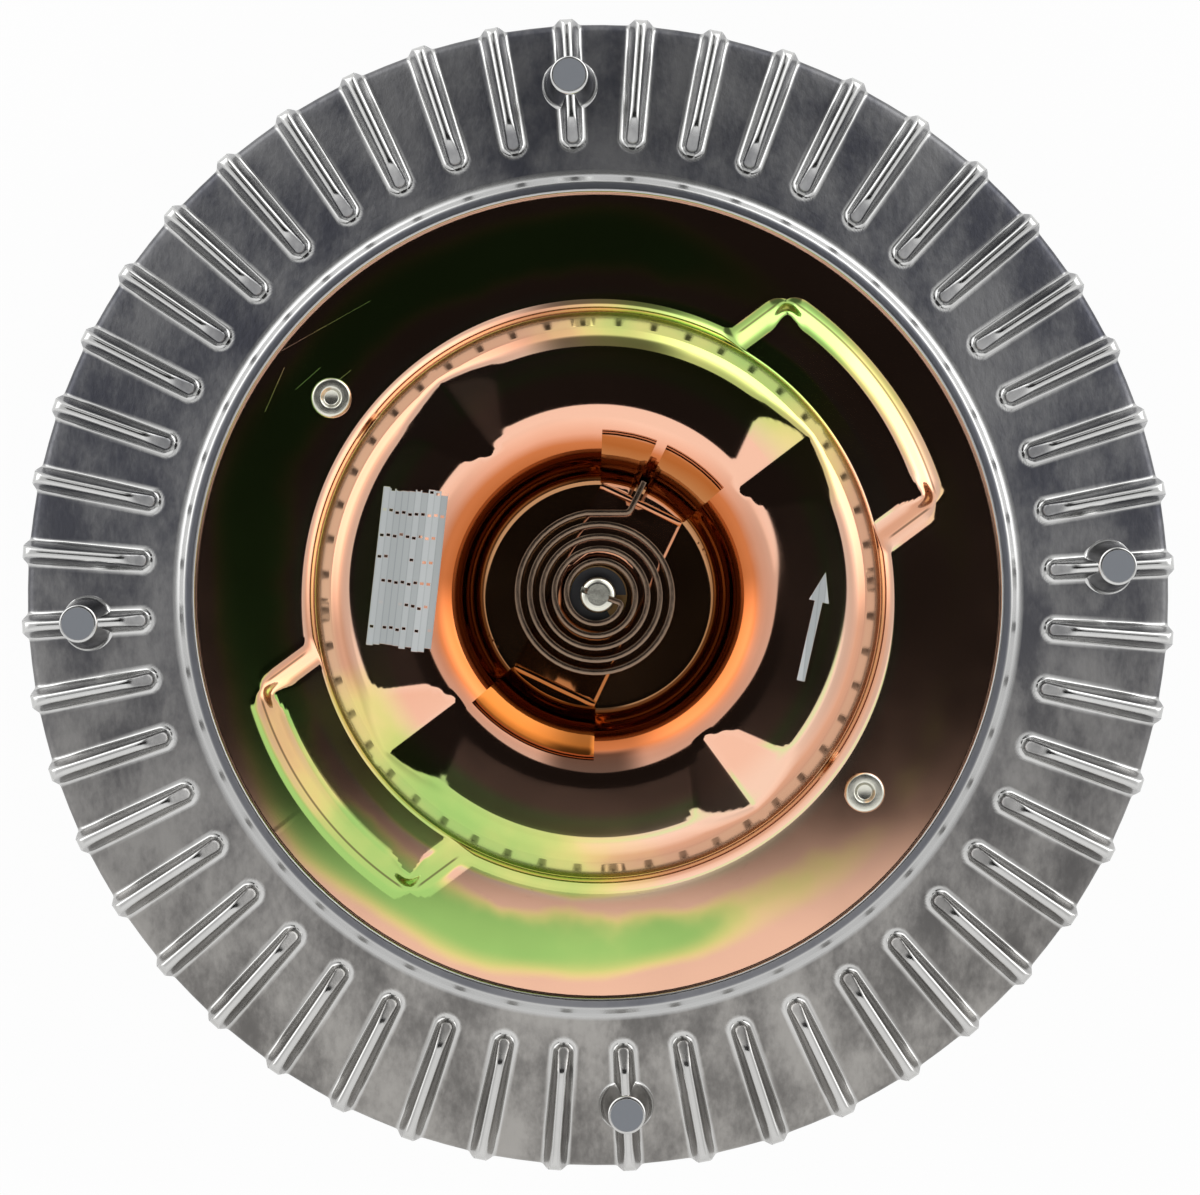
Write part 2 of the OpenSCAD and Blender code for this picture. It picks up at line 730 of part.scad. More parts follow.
// Half section of the space that the ribs fill: ramps inside, rounded tips outside, open over the crests
function rib_outline() =
    let (
        start = [rib_start_r, face_at(rib_start_r)],
        crest = [crest_r, crest_z],
        front_tip = [tip_r, crest_z - rib_crest_fall + crest_margin],
        rear_tip = [tip_r, rear_crest_z - crest_margin],
        rear_start = [rear_rib_start_r, rear_wall_z],
        rear_crest = [rear_rib_start_r + rear_rib_ramp, rear_crest_z],
        front_run = ramp_overrun * (crest - start),
        rear_run = ramp_overrun * (rear_crest - rear_start)
    )
    concat(
        [start - front_run, crest + 2 * front_run],
        bend(crest + [0, crest_margin], front_tip, rear_tip, rib_tip_round, rib_tip_steps),
        bend(front_tip, rear_tip, rear_crest - [0, crest_margin], rib_tip_round, rib_tip_steps),
        [
            rear_crest + 2 * rear_run,
            rear_start - rear_run,
            [drum_d / 2 - web_round, rear_wall_z + rear_wall_t / 2],
            [rib_start_r - cut, rim_front_z]
        ]
    );

// Section of a rib, with its crest at the origin and its flanks running down
module rib_section(draft, depth) {
    step = (180 - 2 * draft) / rib_crest_steps;
    top = [for (i = [0:rib_crest_steps]) polar(rib_crest_r, draft + i * step) - [0, rib_crest_r]];
    flank = (depth - rib_crest_r) * tan(draft);
    foot = top[0].x + flank;
    polygon(concat(top, [[-foot, -depth], [foot, -depth]]));
}

module ribs() {
    front_depth = crest_z - rim_rear_z - rim_t / 2;
    rear_depth = rim_front_z - rim_t / 2 - rear_crest_z;
    length = tip_r - rear_rib_start_r + cut;
    intersection() {
        rotate_extrude()
            polygon(rib_outline());
        around(rib_count, rib_phase) {
            translate([crest_r, 0, crest_z])
                rotate([0, atan(crest_slope), 0])
                    translate([rib_start_r - crest_r - 2 * cut, 0, 0])
                        along_x(length)
                            rib_section(rib_draft, front_depth);
            translate([rear_rib_start_r, 0, rear_crest_z])
                mirror([0, 0, 1])
                    along_x(length)
                        rib_section(rear_rib_draft, rear_depth);
        }
    }
}

module ejector_pads() {
    foot_z = face_at(pad_circle_r) - pad_sink;
    top_z = crest_z - (pad_circle_r - crest_r) * crest_slope + pad_rise;
    around(pad_count, rib_phase)
        translate([pad_circle_r, 0, foot_z])
            cylinder(d1 = pad_foot_d, d2 = pad_d, h = top_z - foot_z);
}

module housing() {
    groove_w = cover_seal_d + 2 * seal_gap;
    snap_groove_z = bearing_height - snap_ring_t - press_gap;
    color("silver")
        difference() {
            union() {
                rotate_extrude()
                    polygon(housing_outline());
                ribs();
                ejector_pads();
                for (i = [0:land_count - 2])
                    let (r = land_start_r + land_step + i * land_pitch)
                        ring(r - land_t / 2, r + land_t / 2, floor_z - cut, floor_z + land_h);
                around(fan_holes, fan_phase)
                    translate([fan_pcd / 2, 0, fan_seat_z])
                        cylinder(d = fan_boss_d, h = fan_seat_h + cut);
            }
            around(fan_holes, fan_phase)
                translate([fan_pcd / 2, 0, fan_seat_z - cut])
                    cylinder(d = fan_hole_d, h = fan_hole_depth + cut);
            ring(hub_bore_r - cut, hub_bore_r + snap_groove, snap_groove_z, bearing_height);
            ring(
                cover_seal_circle_d / 2 - groove_w / 2,
                cover_seal_circle_d / 2 + groove_w / 2,
                seat_z - cover_seal_d - press_gap,
                seat_z + cut / 2
            );
        }
}

// Rotor: turned aluminium disc with ring lands behind its web

module rotor() {
    bore_r = journal_d / 2 + press_gap;
    color("lightgray")
        difference() {
            union() {
                ring(bore_r, rotor_d / 2, rotor_rear_z, rotor_front_z);
                ring(bore_r, rotor_hub_d / 2, rotor_rear_z - rotor_hub_l, rotor_rear_z + cut);
                for (i = [0:land_count - 1])
                    let (r = land_start_r + i * land_pitch)
                        ring(r - land_t / 2, r + land_t / 2, floor_z + land_gap, rotor_rear_z + cut);
            }
            around(bleed_holes)
                translate([bleed_r, 0, rotor_rear_z - cut])
                    cylinder(d = bleed_hole_d, h = rotor_web_t + 2 * cut);
        }
}

module rotor_retaining_ring() {
    inner_r = journal_d / 2 - rotor_groove + press_gap;
    color("dimgray")
        rotate_extrude(angle = 360 - snap_ring_gap)
            translate([inner_r, rotor_front_z + press_gap])
                square([rotor_ring_d / 2 - inner_r, rotor_ring_t - 2 * press_gap]);
}

// Divider plate between the working chamber and the reservoir

module wiper(r_in, r_out, z, h, span) {
    rotate(wiper_angle - span / 2)
        rotate_extrude(angle = span)
            translate([r_in, z])
                square([r_out - r_in, h]);
}

module divider_plate() {
    outer_r = ear_r - wiper_inset;
    inner_r = outer_r - wiper_l;
    depth = pump_gap - wiper_gap;
    hollow_span = wiper_span - 2 * asin(wiper_wall / inner_r);
    color("darkgray")
        difference() {
            union() {
                ring(0, plate_d / 2, plate_z, seat_z);
                around(2, ear_angle)
                    wiper(inner_r, outer_r, plate_z - depth, depth + plate_t / 2, wiper_span);
            }
            around(2, ear_angle)
                wiper(
                    inner_r + wiper_wall,
                    outer_r - wiper_wall,
                    seat_z - wiper_hollow,
                    wiper_hollow + cut,
                    hollow_span
                );
            around(2, ear_angle + pump_hole_angle)
                translate([pump_hole_r, 0, plate_z - cut])
                    cylinder(d = pump_hole_d, h = plate_t + 2 * cut);
            around(2, port_angle)
                translate([port_r, 0, plate_z - cut])
                    cylinder(d = port_d, h = plate_t + 2 * cut);
            around(2, rivet_angle)
                translate([rivet_circle_r, 0, plate_z - cut])
                    cylinder(d = rivet_d + 2 * press_gap, h = plate_t + 2 * cut);
        }
}

module plate_rivets() {
    rivet_r = rivet_d / 2;
    head_r = rivet_head_d / 2;
    tail_r = rivet_tail_d / 2;
    dimple_r = rivet_dimple_d / 2;
    head_z = ring_z + press_gap;
    top_z = head_z + rivet_head_h;
    tail_z = plate_z - press_gap;
    color("gainsboro")
        around(2, rivet_angle)
            translate([rivet_circle_r, 0, 0])
                rotate_extrude()
                    polygon([
                        [0, tail_z - rivet_tail_h],
                        [tail_r - rivet_taper, tail_z - rivet_tail_h],
                        [tail_r, tail_z],
                        [rivet_r, tail_z],
                        [rivet_r, head_z],
                        [head_r, head_z],
                        [head_r, top_z - rivet_bevel],
                        [head_r - rivet_bevel, top_z],
                        [dimple_r + rivet_taper, top_z],
                        [dimple_r, top_z - rivet_dimple_depth],
                        [0, top_z - rivet_dimple_depth]
                    ]);
}

// Front cover: one steel stamping with a raised hat, a bowl, two ears and four grooves

// Front surface of the sheet from the axis to the edge of the blank
function cover_path(edge_r) =
    rounded(
        [
            [0, bowl_z],
            [bowl_floor_d / 2, bowl_z],
            [bowl_rim_d / 2, hat_z],
            [hat_d / 2, hat_z],
            [hat_wall_r, ring_z + hat_wall_h],
            [hat_foot_d / 2, ring_z],
            [edge_r, ring_z]
        ],
        [0, bowl_floor_bend, bowl_rim_bend, hat_bend, hat_wall_bend, hat_foot_bend, 0]
    );

// Ear with its walls moved in and its top moved down by the same sheet
module ear(sheet) {
    top_z = ring_z + ear_h - sheet;
    foot_z = ring_z - sheet - cut;
    inward = sheet / sin(ear_slope);
    top_out = (sheet - ear_h / 2) * ear_cot - inward;
    foot_out = top_out + (top_z - foot_z) * ear_cot;
    intersection() {
        translate([0, 0, foot_z])
            cylinder(r1 = ear_r + foot_out, r2 = ear_r + top_out, h = top_z - foot_z);
        along_x(ear_r + foot_out)
            polygon([
                [ear_w / 2 + foot_out, foot_z],
                [ear_w / 2 + top_out, top_z],
                [-ear_w / 2 - top_out, top_z],
                [-ear_w / 2 - foot_out, foot_z]
            ]);
    }
}

// Wedge that presses one groove, with its bottom line through the middle of the groove
module groove(sheet) {
    half_w = ear_w / 2;
    half_l = (hat_foot_d - bowl_floor_d) / 4;
    translate([groove_r, 0, hat_z - groove_depth - sheet])
        rotate([0, groove_fall, 0])
            translate([-half_l, 0, 0])
                along_x(2 * half_l)
                    polygon([
                        [0, 0],
                        [half_w, half_w * tan(groove_slope)],
                        [half_w, deep],
                        [-half_w, deep],
                        [-half_w, half_w * tan(groove_slope)]
                    ]);
}

// Everything below one side of the sheet
module cover_form(edge_r, sheet) {
    path = shifted(cover_path(edge_r), -sheet);
    foot_z = seat_z - deep;
    difference() {
        union() {
            rotate_extrude()
                polygon(concat(path, [[edge_r, foot_z - sheet], [0, foot_z - sheet]]));
            around(2, ear_angle)
                ear(sheet);
        }
        around(groove_count, groove_angle)
            groove(sheet);
    }
}

module front_cover() {
    color("goldenrod")
        difference() {
            cover_form(cover_d / 2, 0);
            cover_form(cover_d / 2 + cut, sheet_t);
            translate([0, 0, bowl_z - sheet_t - cut])
                cylinder(d = bushing_d + 2 * press_gap, h = sheet_t + 2 * cut);
            around(2, rivet_angle)
                translate([rivet_circle_r, 0, seat_z - cut])
                    cylinder(d = rivet_d + 2 * press_gap, h = sheet_t + 2 * cut);
        }
}

module cover_seal() {
    color("black")
        rotate_extrude()
            translate([cover_seal_circle_d / 2, seat_z - cover_seal_d / 2 - press_gap / 2])
                circle(d = cover_seal_d);
}

// Valve that opens the gate ports

module valve_bushing() {
    bore_r = valve_d / 2 + valve_gap;
    color("peru")
        union() {
            ring(bore_r, bushing_d / 2, bushing_z, bushing_top_z);
            ring(bore_r, bushing_flange_d / 2, bushing_z, bushing_z + bushing_flange_t - press_gap);
        }
}

module valve_shaft() {
    valve_r = valve_d / 2;
    slot_w = coil_t + 2 * valve_gap;
    outline = [
        [0, arm_z],
        [valve_spigot_d / 2, arm_z],
        [valve_spigot_d / 2, collar_z],
        [valve_collar_d / 2, collar_z],
        [valve_collar_d / 2, collar_z + valve_collar_h],
        [valve_r, collar_z + valve_collar_h],
        [valve_r, valve_top_z],
        [0, valve_top_z]
    ];
    corner = 6;
    radii = [for (i = [0:len(outline) - 1]) i == corner ? valve_end_round : 0];
    groove_h = valve_seal_d + 2 * seal_gap;
    color("gainsboro")
        difference() {
            rotate_extrude()
                polygon(rounded(outline, radii));
            ring(valve_groove_r, valve_r + cut, valve_seal_z - groove_h / 2, valve_seal_z + groove_h / 2);
            ring(valve_r - clip_groove, valve_r + cut, clip_z - press_gap, clip_z + clip_t + press_gap);
            rotate(valve_slot_angle)
                difference() {
                    translate([-valve_d, -slot_w / 2, coil_z - slot_gap])
                        cube([2 * valve_d, slot_w, coil_w * 2]);
                    translate([0, 0, valve_top_z - valve_bridge_t])
                        cylinder(d = valve_bridge_d, h = coil_w);
                }
        }
}

module valve_arm() {
    color("silver")
        difference() {
            union() {
                rotate(port_angle)
                    translate([-port_r, -arm_w / 2, arm_z])
                        cube([2 * port_r, arm_w, arm_t]);
                around(2, port_angle)
                    translate([port_r, 0, arm_z])
                        cylinder(d = arm_end_d, h = arm_t);
            }
            translate([0, 0, arm_z - cut])
                cylinder(d = valve_spigot_d + 2 * press_gap, h = arm_t + 2 * cut);
        }
}

module valve_shaft_seal() {
    color("black")
        rotate_extrude()
            translate([valve_groove_r + press_gap + valve_seal_d / 2, valve_seal_z])
                circle(d = valve_seal_d);
}

module valve_shaft_clip() {
    inner_r = valve_d / 2 - clip_groove + press_gap;
    color("dimgray")
        rotate_extrude(angle = 360 - clip_opening)
            translate([inner_r, clip_z])
                square([clip_d / 2 - inner_r, clip_t]);
}

// Bracket that holds the tail of the coil, bent up along the bowl at both ends

module coil_bracket() {
    wall = rounded(
        [
            [strap_hole_d / 2, bowl_z],
            [bowl_floor_d / 2, bowl_z],
            [bowl_rim_d / 2, hat_z],
            [hat_d / 2, hat_z]
        ],
        [0, bowl_floor_bend, bowl_rim_bend, 0]
    );
    half_w = strap_w / 2;
    bend_x = half_w / tan(tab_angle / 2);
    flare = polar(2 * tab_r, tab_angle / 2);
    quarter = [[bend_x, half_w], flare];
    half = concat(quarter, backwards([for (p = quarter) [p.x, -p.y]]));
    color("goldenrod")
        difference() {
            intersection() {
                rotate_extrude()
                    polygon(concat(shifted(wall, press_gap), backwards(shifted(wall, press_gap + strap_t))));
                rotate(strap_angle)
                    translate([0, 0, bowl_z - cut])
                        linear_extrude(2 * hat_h)
                            polygon(concat(half, -half));
                translate([0, 0, bowl_z - cut])
                    cylinder(r = tab_r, h = 2 * hat_h);
            }
            translate([tail_corner().x, tail_corner().y, 0])
                rotate(tail_angle)
                    translate([coil_bend + coil_t, -tail_slot_w / 2, bowl_z - cut])
                        cube([tab_r, tail_slot_w, 2 * hat_h]);
        }
}

// Bimetal coil: one strip wound in a flat spiral

// Point on the middle line of the spiral, with t from 0 at the outside to 1 at the inside
function spiral(t) =
    polar(coil_outer_r + (coil_inner_r - coil_outer_r) * t, coil_end_angle + coil_sweep * t);

// Corner between the straight run and the tail
function tail_corner() = spiral(0) + [coil_run, 0];

function coil_path() =
    let (
        steps = spiral_steps * (coil_turns + 1),
        turns = [for (i = [0:steps - 2]) spiral(i / steps)],
        tail_l = bowl_floor_d / 2 + tail_reach - norm(tail_corner()),
        tail_end = tail_corner() + polar(tail_l, tail_angle),
        inner_corner = spiral(1),
        inner_end = -polar(coil_tang_l, valve_slot_angle)
    )
    concat(
        [tail_end],
        bend(tail_end, tail_corner(), turns[0], coil_bend),
        turns,
        bend(turns[steps - 2], inner_corner, inner_end, coil_inner_bend),
        [inner_end]
    );

module bimetal_coil() {
    path = coil_path();
    color("saddlebrown")
        translate([0, 0, coil_z])
            linear_extrude(coil_w)
                polygon(concat(shifted(path, coil_t / 2), backwards(shifted(path, -coil_t / 2))));
}

drive_shaft();
bearing_inner_ring();
bearing_outer_ring();
bearing_balls();
bearing_cage();
bearing_rear_seal();
bearing_front_seal();
bearing_snap_ring();
housing();
rotor();
rotor_retaining_ring();
divider_plate();
plate_rivets();
front_cover();
cover_seal();
valve_bushing();
valve_shaft();
valve_arm();
valve_shaft_seal();
valve_shaft_clip();
coil_bracket();
bimetal_coil();
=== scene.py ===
# Viscous fan clutch, standing on its pump flange and seen from straight above.
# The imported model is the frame: each piece sits where its solid sits, in metres.
import math

import bpy
import numpy as np
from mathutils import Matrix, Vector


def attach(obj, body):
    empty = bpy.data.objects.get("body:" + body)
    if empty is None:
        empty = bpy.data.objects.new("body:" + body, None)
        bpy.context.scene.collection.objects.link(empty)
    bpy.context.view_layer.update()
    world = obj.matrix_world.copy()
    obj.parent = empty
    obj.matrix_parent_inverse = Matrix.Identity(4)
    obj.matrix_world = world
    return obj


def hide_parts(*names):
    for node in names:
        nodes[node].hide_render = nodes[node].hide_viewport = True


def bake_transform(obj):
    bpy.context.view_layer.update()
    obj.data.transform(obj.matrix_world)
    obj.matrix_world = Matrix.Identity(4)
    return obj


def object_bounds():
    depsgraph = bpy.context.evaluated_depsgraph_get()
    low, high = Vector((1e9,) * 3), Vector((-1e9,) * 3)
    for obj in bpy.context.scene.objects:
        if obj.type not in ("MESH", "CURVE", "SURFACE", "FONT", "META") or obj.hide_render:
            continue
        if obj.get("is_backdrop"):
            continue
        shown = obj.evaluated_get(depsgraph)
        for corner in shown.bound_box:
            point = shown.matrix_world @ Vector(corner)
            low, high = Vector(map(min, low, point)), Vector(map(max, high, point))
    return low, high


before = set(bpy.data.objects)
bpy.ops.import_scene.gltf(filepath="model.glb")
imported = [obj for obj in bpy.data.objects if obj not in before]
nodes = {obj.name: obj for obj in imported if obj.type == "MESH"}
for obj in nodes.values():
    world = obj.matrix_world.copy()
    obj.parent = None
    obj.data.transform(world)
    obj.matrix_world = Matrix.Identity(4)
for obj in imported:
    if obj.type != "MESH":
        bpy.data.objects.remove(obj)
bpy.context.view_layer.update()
bpy.ops.object.select_all(action="DESELECT")


# Drive shaft
# A steel forging whose flange bolts to the water pump hub.
# The flange and the neck are turned, and a thin film of oil keeps them from rusting.


class Tone:
    """A socket in a node tree, so that shader maths reads as plain expressions."""

    def __init__(self, tree, socket=None):
        self.tree = tree
        self.socket = socket

    def node(self, kind, settings=None, sockets=None, output=None):
        """Adds a node, sets it up, then feeds its sockets by name or by place with values or links."""
        made = self.tree.nodes.new("ShaderNode" + kind)
        for name, value in (settings or {}).items():
            if name == "stops":
                steps = made.color_ramp.elements
                for place, _ in value[1:-1]:
                    steps.new(place)
                for step, (place, colour) in zip(steps, value):
                    step.position = place
                    step.color = (*colour, 1)
            else:
                setattr(made, name, value)
        ports = [port for port in made.inputs if port.enabled]
        for key, value in (sockets or {}).items():
            port = ports[key] if isinstance(key, int) else next(p for p in ports if p.name == key)
            if isinstance(value, Tone):
                self.tree.links.new(value.socket, port)
            elif port.type == "RGBA":
                port.default_value = (*value, 1)
            else:
                port.default_value = value
        ports = [port for port in made.outputs if port.enabled]
        return Tone(self.tree, next((p for p in ports if p.name == output), ports[0] if ports else None))

    def math(self, operation, *values):
        return self.node("Math", {"operation": operation}, dict(enumerate((self, *values))))

    def __add__(self, other):
        return self.math("ADD", other)

    def __sub__(self, other):
        return self.math("SUBTRACT", other)

    def __rsub__(self, other):
        return self.node("Math", {"operation": "SUBTRACT"}, {0: other, 1: self})

    def __mul__(self, other):
        return self.math("MULTIPLY", other)

    def __truediv__(self, other):
        return self.math("DIVIDE", other)

    __radd__ = __add__
    __rmul__ = __mul__


def finish(name, surface):
    """A material. The function surface gets a Tone to start from and gives the shader's sockets."""
    material = bpy.data.materials.new(name)
    material.use_nodes = True
    material.node_tree.nodes.clear()
    start = Tone(material.node_tree)
    shader = start.node("BsdfPrincipled", {}, surface(start))
    start.node("OutputMaterial", {}, {"Surface": shader})
    return material


def here(start):
    """Place on the piece, in metres."""
    return start.node("TexCoord", output="Object")


def axes(place):
    """The place's X, Y and Z."""
    split = place.node("SeparateXYZ", {}, {"Vector": place}).socket.node
    return [Tone(place.tree, port) for port in split.outputs]


def mottle(place, scale, detail=3.0, rough=0.5):
    return place.node("TexNoise", {}, {"Vector": place, "Scale": scale, "Detail": detail, "Roughness": rough})


def eased(value, low, high):
    """0 below low, 1 above high and a soft step between."""
    return value.node(
        "MapRange",
        {"interpolation_type": "SMOOTHSTEP"},
        {"Value": value, "From Min": low, "From Max": high, "To Min": 0.0, "To Max": 1.0},
    )


def mixed(share, first, second):
    """The first colour, with a share of the second."""
    return share.node("Mix", {"data_type": "RGBA"}, {"Factor": share, "A": first, "B": second})


def raised(height, depth, strength=1.0):
    """A normal bumped by a height from 0 to 1 over a depth in metres."""
    return height.node("Bump", {}, {"Height": height, "Distance": depth, "Strength": strength})


def tool_marks(place, pitch):
    """Fine rings round the axis, as a lathe leaves them."""
    x, y, z = axes(place)
    radius = (x * x + y * y).math("SQRT")
    return place.node("TexNoise", {"noise_dimensions": "1D"}, {"W": (radius + z * 0.4) / pitch, "Scale": 1.0})


def oiled_steel(start):
    place = here(start)
    stain = eased(mottle(place, 55.0, 5.0), 0.35, 0.7)
    rings = tool_marks(place, 0.0005)
    return {
        "Base Color": mixed(stain, (0.30, 0.29, 0.28), (0.17, 0.16, 0.15)),
        "Metallic": 1.0,
        "Roughness": 0.30 + stain * 0.16 + rings * 0.10,
        "Normal": raised(rings, 0.00005, 0.6),
    }


forged_steel = finish("forged_steel", oiled_steel)


def dress(names, material):
    """The CAD pieces of these names keep their shape and get this finish."""
    for name in names:
        piece = nodes[name]
        piece.data.materials.clear()
        piece.data.materials.append(material)


dress(["drive_shaft"], forged_steel)


# Ball bearing
# Ground rings and balls of bearing steel, a plastic cage and two rubber seals.
# It is pressed into the hub, and a ring of spring steel behind it keeps it there.


def ground_steel(start):
    place = here(start)
    rings = tool_marks(place, 0.0003)
    haze = mottle(place, 120.0)
    return {
        "Base Color": mixed(haze, (0.52, 0.52, 0.52), (0.62, 0.61, 0.60)),
        "Metallic": 1.0,
        "Roughness": 0.16 + rings * 0.12,
        "Normal": raised(rings, 0.00002, 0.5),
    }


def nylon(start):
    grain = mottle(here(start), 800.0)
    return {
        "Base Color": mixed(grain, (0.55, 0.47, 0.33), (0.62, 0.54, 0.39)),
        "Roughness": 0.42 + grain * 0.12,
        "Normal": raised(grain, 0.00003, 0.4),
    }


def nitrile(start):
    place = here(start)
    grain = mottle(place, 1500.0, 4.0)
    dust = eased(mottle(place, 90.0, 4.0), 0.5, 0.8)
    return {
        "Base Color": mixed(dust, (0.014, 0.014, 0.015), (0.045, 0.043, 0.040)),
        "Roughness": 0.55 + grain * 0.2,
        "Normal": raised(grain, 0.00004, 0.5),
    }


def blued_steel(start):
    place = here(start)
    scale = mottle(place, 260.0, 4.0)
    return {
        "Base Color": mixed(scale, (0.055, 0.058, 0.066), (0.12, 0.12, 0.125)),
        "Metallic": 1.0,
        "Roughness": 0.30 + scale * 0.2,
        "Normal": raised(scale, 0.00003, 0.5),
    }


bearing_steel = finish("bearing_steel", ground_steel)
cage_plastic = finish("cage_plastic", nylon)
seal_rubber = finish("seal_rubber", nitrile)
spring_steel = finish("spring_steel", blued_steel)
dress(["bearing_inner_ring", "bearing_outer_ring", "bearing_balls"], bearing_steel)
dress(["bearing_cage"], cage_plastic)
dress(["bearing_rear_seal", "bearing_front_seal", "cover_seal", "valve_shaft_seal"], seal_rubber)
dress(["bearing_snap_ring", "rotor_retaining_ring", "valve_shaft_clip"], spring_steel)


# Housing
# One aluminium die casting, finned on both faces, tumbled bright on its edges and grey between the ribs. Its
# colour also carries a painted highlight on the rib roots, and painted light that makes it lighter towards
# -Y.
# The hub, the seats and the lip are turned, and the lip is rolled over the edge of the cover.

MM = 0.001


def bent(corners, pace=14.0):
    """Points along a path of (radius, height, bend) corners, each bend drawn at its radius."""
    path = []
    count = len(corners)
    for i, (r, z, bend) in enumerate(corners):
        corner = np.array((r, z), float)
        if bend <= 0:
            path.append(corner)
            continue
        back = np.array(corners[i - 1][:2], float) - corner
        ahead = np.array(corners[(i + 1) % count][:2], float) - corner
        back /= np.linalg.norm(back)
        ahead /= np.linalg.norm(ahead)
        half = math.acos(np.clip(back @ ahead, -1, 1)) / 2
        middle = back + ahead
        centre = corner + middle / np.linalg.norm(middle) * bend / math.sin(half)
        first = corner + back * bend / math.tan(half) - centre
        last = corner + ahead * bend / math.tan(half) - centre
        start = math.atan2(first[1], first[0])
        sweep = (math.atan2(last[1], last[0]) - start + 3 * math.pi) % (2 * math.pi) - math.pi
        steps = max(2, math.ceil(abs(math.degrees(sweep)) / pace))
        for k in range(steps + 1):
            turn = start + sweep * k / steps
            path.append(centre + bend * np.array((math.cos(turn), math.sin(turn))))
    return path


def split(path, first, last, pace):
    """The same path, with more points on its straight runs, a pace apart between two radii."""
    made = [path[0]]
    for a, b in zip(path, path[1:]):
        low, high = sorted((a[0], b[0]))
        marks = [r for r in np.arange(first, last + pace / 2, pace) if low + pace / 4 < r < high - pace / 4]
        if b[0] < a[0]:
            marks.reverse()
        made += [a + (b - a) * (r - a[0]) / (b[0] - a[0]) for r in marks]
        made.append(b)
    return made


def turned(name, section, steps, closed=True):
    """A piece turned about Z from its half section, points of (radius, height) in millimetres."""
    bpy.ops.object.select_all(action="DESELECT")
    bpy.ops.mesh.primitive_plane_add(size=MM)
    piece = bpy.context.object
    piece.name = piece.data.name = name
    bpy.ops.object.mode_set(mode="EDIT")
    bpy.ops.mesh.select_all(action="SELECT")
    bpy.ops.mesh.merge(type="CENTER")
    at = np.zeros(2)
    for i, point in enumerate([*section, section[0]] if closed else section):
        move = (np.array(point, float) - at) * MM
        shift = {"value": (move[0], 0, move[1])}
        if i:
            bpy.ops.mesh.extrude_region_move(TRANSFORM_OT_translate=shift)
        else:
            bpy.ops.transform.translate(**shift)
        at = np.array(point, float)
    bpy.ops.object.mode_set(mode="OBJECT")
    lathe = piece.modifiers.new("lathe", "SCREW")
    lathe.axis = "Z"
    lathe.angle = 2 * math.pi
    lathe.steps = lathe.render_steps = steps
    lathe.use_merge_vertices = True
    lathe.merge_threshold = 2e-6
    bpy.ops.object.modifier_apply(modifier=lathe.name)
    weld(piece)
    return piece


def points_of(piece):
    """The piece's points in millimetres."""
    flat = np.empty(len(piece.data.vertices) * 3)
    piece.data.vertices.foreach_get("co", flat)
    return flat.reshape(-1, 3) / MM


def move_points(piece, points):
    piece.data.vertices.foreach_set("co", (points * MM).ravel())
    piece.data.update()


def mark(piece, name, values):
    """Gives each point of the piece a number that its material can read."""
    numbers = np.broadcast_to(np.asarray(values, np.float32), len(piece.data.vertices))
    piece.data.attributes.new(name, "FLOAT", "POINT").data.foreach_set("value", np.ascontiguousarray(numbers))


def weld(piece):
    """Points that share a place become one."""
    bpy.ops.object.select_all(action="DESELECT")
    piece.select_set(True)
    bpy.context.view_layer.objects.active = piece
    bpy.ops.object.mode_set(mode="EDIT")
    bpy.ops.mesh.select_all(action="SELECT")
    bpy.ops.mesh.remove_doubles(threshold=2e-6)
    bpy.ops.mesh.normals_make_consistent(inside=False)
    bpy.ops.object.mode_set(mode="OBJECT")


def shade(piece, angle=35.0):
    bpy.ops.object.select_all(action="DESELECT")
    piece.select_set(True)
    bpy.context.view_layer.objects.active = piece
    bpy.ops.object.shade_smooth_by_angle(angle=math.radians(angle))


def joined(main, others):
    """The other pieces become part of the main one."""
    bpy.ops.object.select_all(action="DESELECT")
    for piece in [main, *others]:
        piece.select_set(True)
    bpy.context.view_layer.objects.active = main
    bpy.ops.object.join()
    return main


def lesser(a, b, ease):
    """The smaller of two heights, with the corner between them eased."""
    near = np.maximum(ease - np.abs(a - b), 0) / ease
    return np.minimum(a, b) - near * near * ease / 4


def greater(a, b, ease):
    """The larger of two heights, eased the same way."""
    return -lesser(-a, -b, ease)


LIP_FOOT_R, FACE_Z = 78.2, 77.1
RIM_R, RIM_FRONT_Z, RIM_REAR_Z = 103.7, 70.2, 64.2
TIP_R, TIP_ROUND = 104.1, 2.4
FACE_SLOPE = (FACE_Z - RIM_FRONT_Z) / (RIM_R - LIP_FOOT_R)
RIB_COUNT, RIB_PHASE = 48, math.radians(3.17)
RIB_START_R, RIB_CREST_START_R, RIB_H = 80.6, 85.9, 4.5
CREST_FALL = 2.6 / (TIP_R - RIB_CREST_START_R)
CREST_R, ROOT_R, RIB_END_ROUND, RAMP_FOOT = 0.95, 1.1, 1.9, 0.6
FRONT_DRAFT, REAR_DRAFT = math.radians(11), math.radians(3.5)
DRUM_R, REAR_WALL_Z, REAR_CREST_Z = 74.5, 52.0, 49.5
REAR_START_R, REAR_RAMP = 64.5, 4.5
LIP_R, LIP_OUT_R, LIP_Z = 72.4, 74.4, 79.6
RIM_MIDDLE_Z = (RIM_FRONT_Z + RIM_REAR_Z) / 2
RIM_BEND, BEND_START_R, TIP_HALF_W = 1.8, RIM_R - 1.75, 2.45
FAR = 99.0


def face_at(r):
    return FACE_Z - (r - LIP_FOOT_R) * FACE_SLOPE


def crest_at(r):
    return face_at(RIB_CREST_START_R) + RIB_H - (r - RIB_CREST_START_R) * CREST_FALL


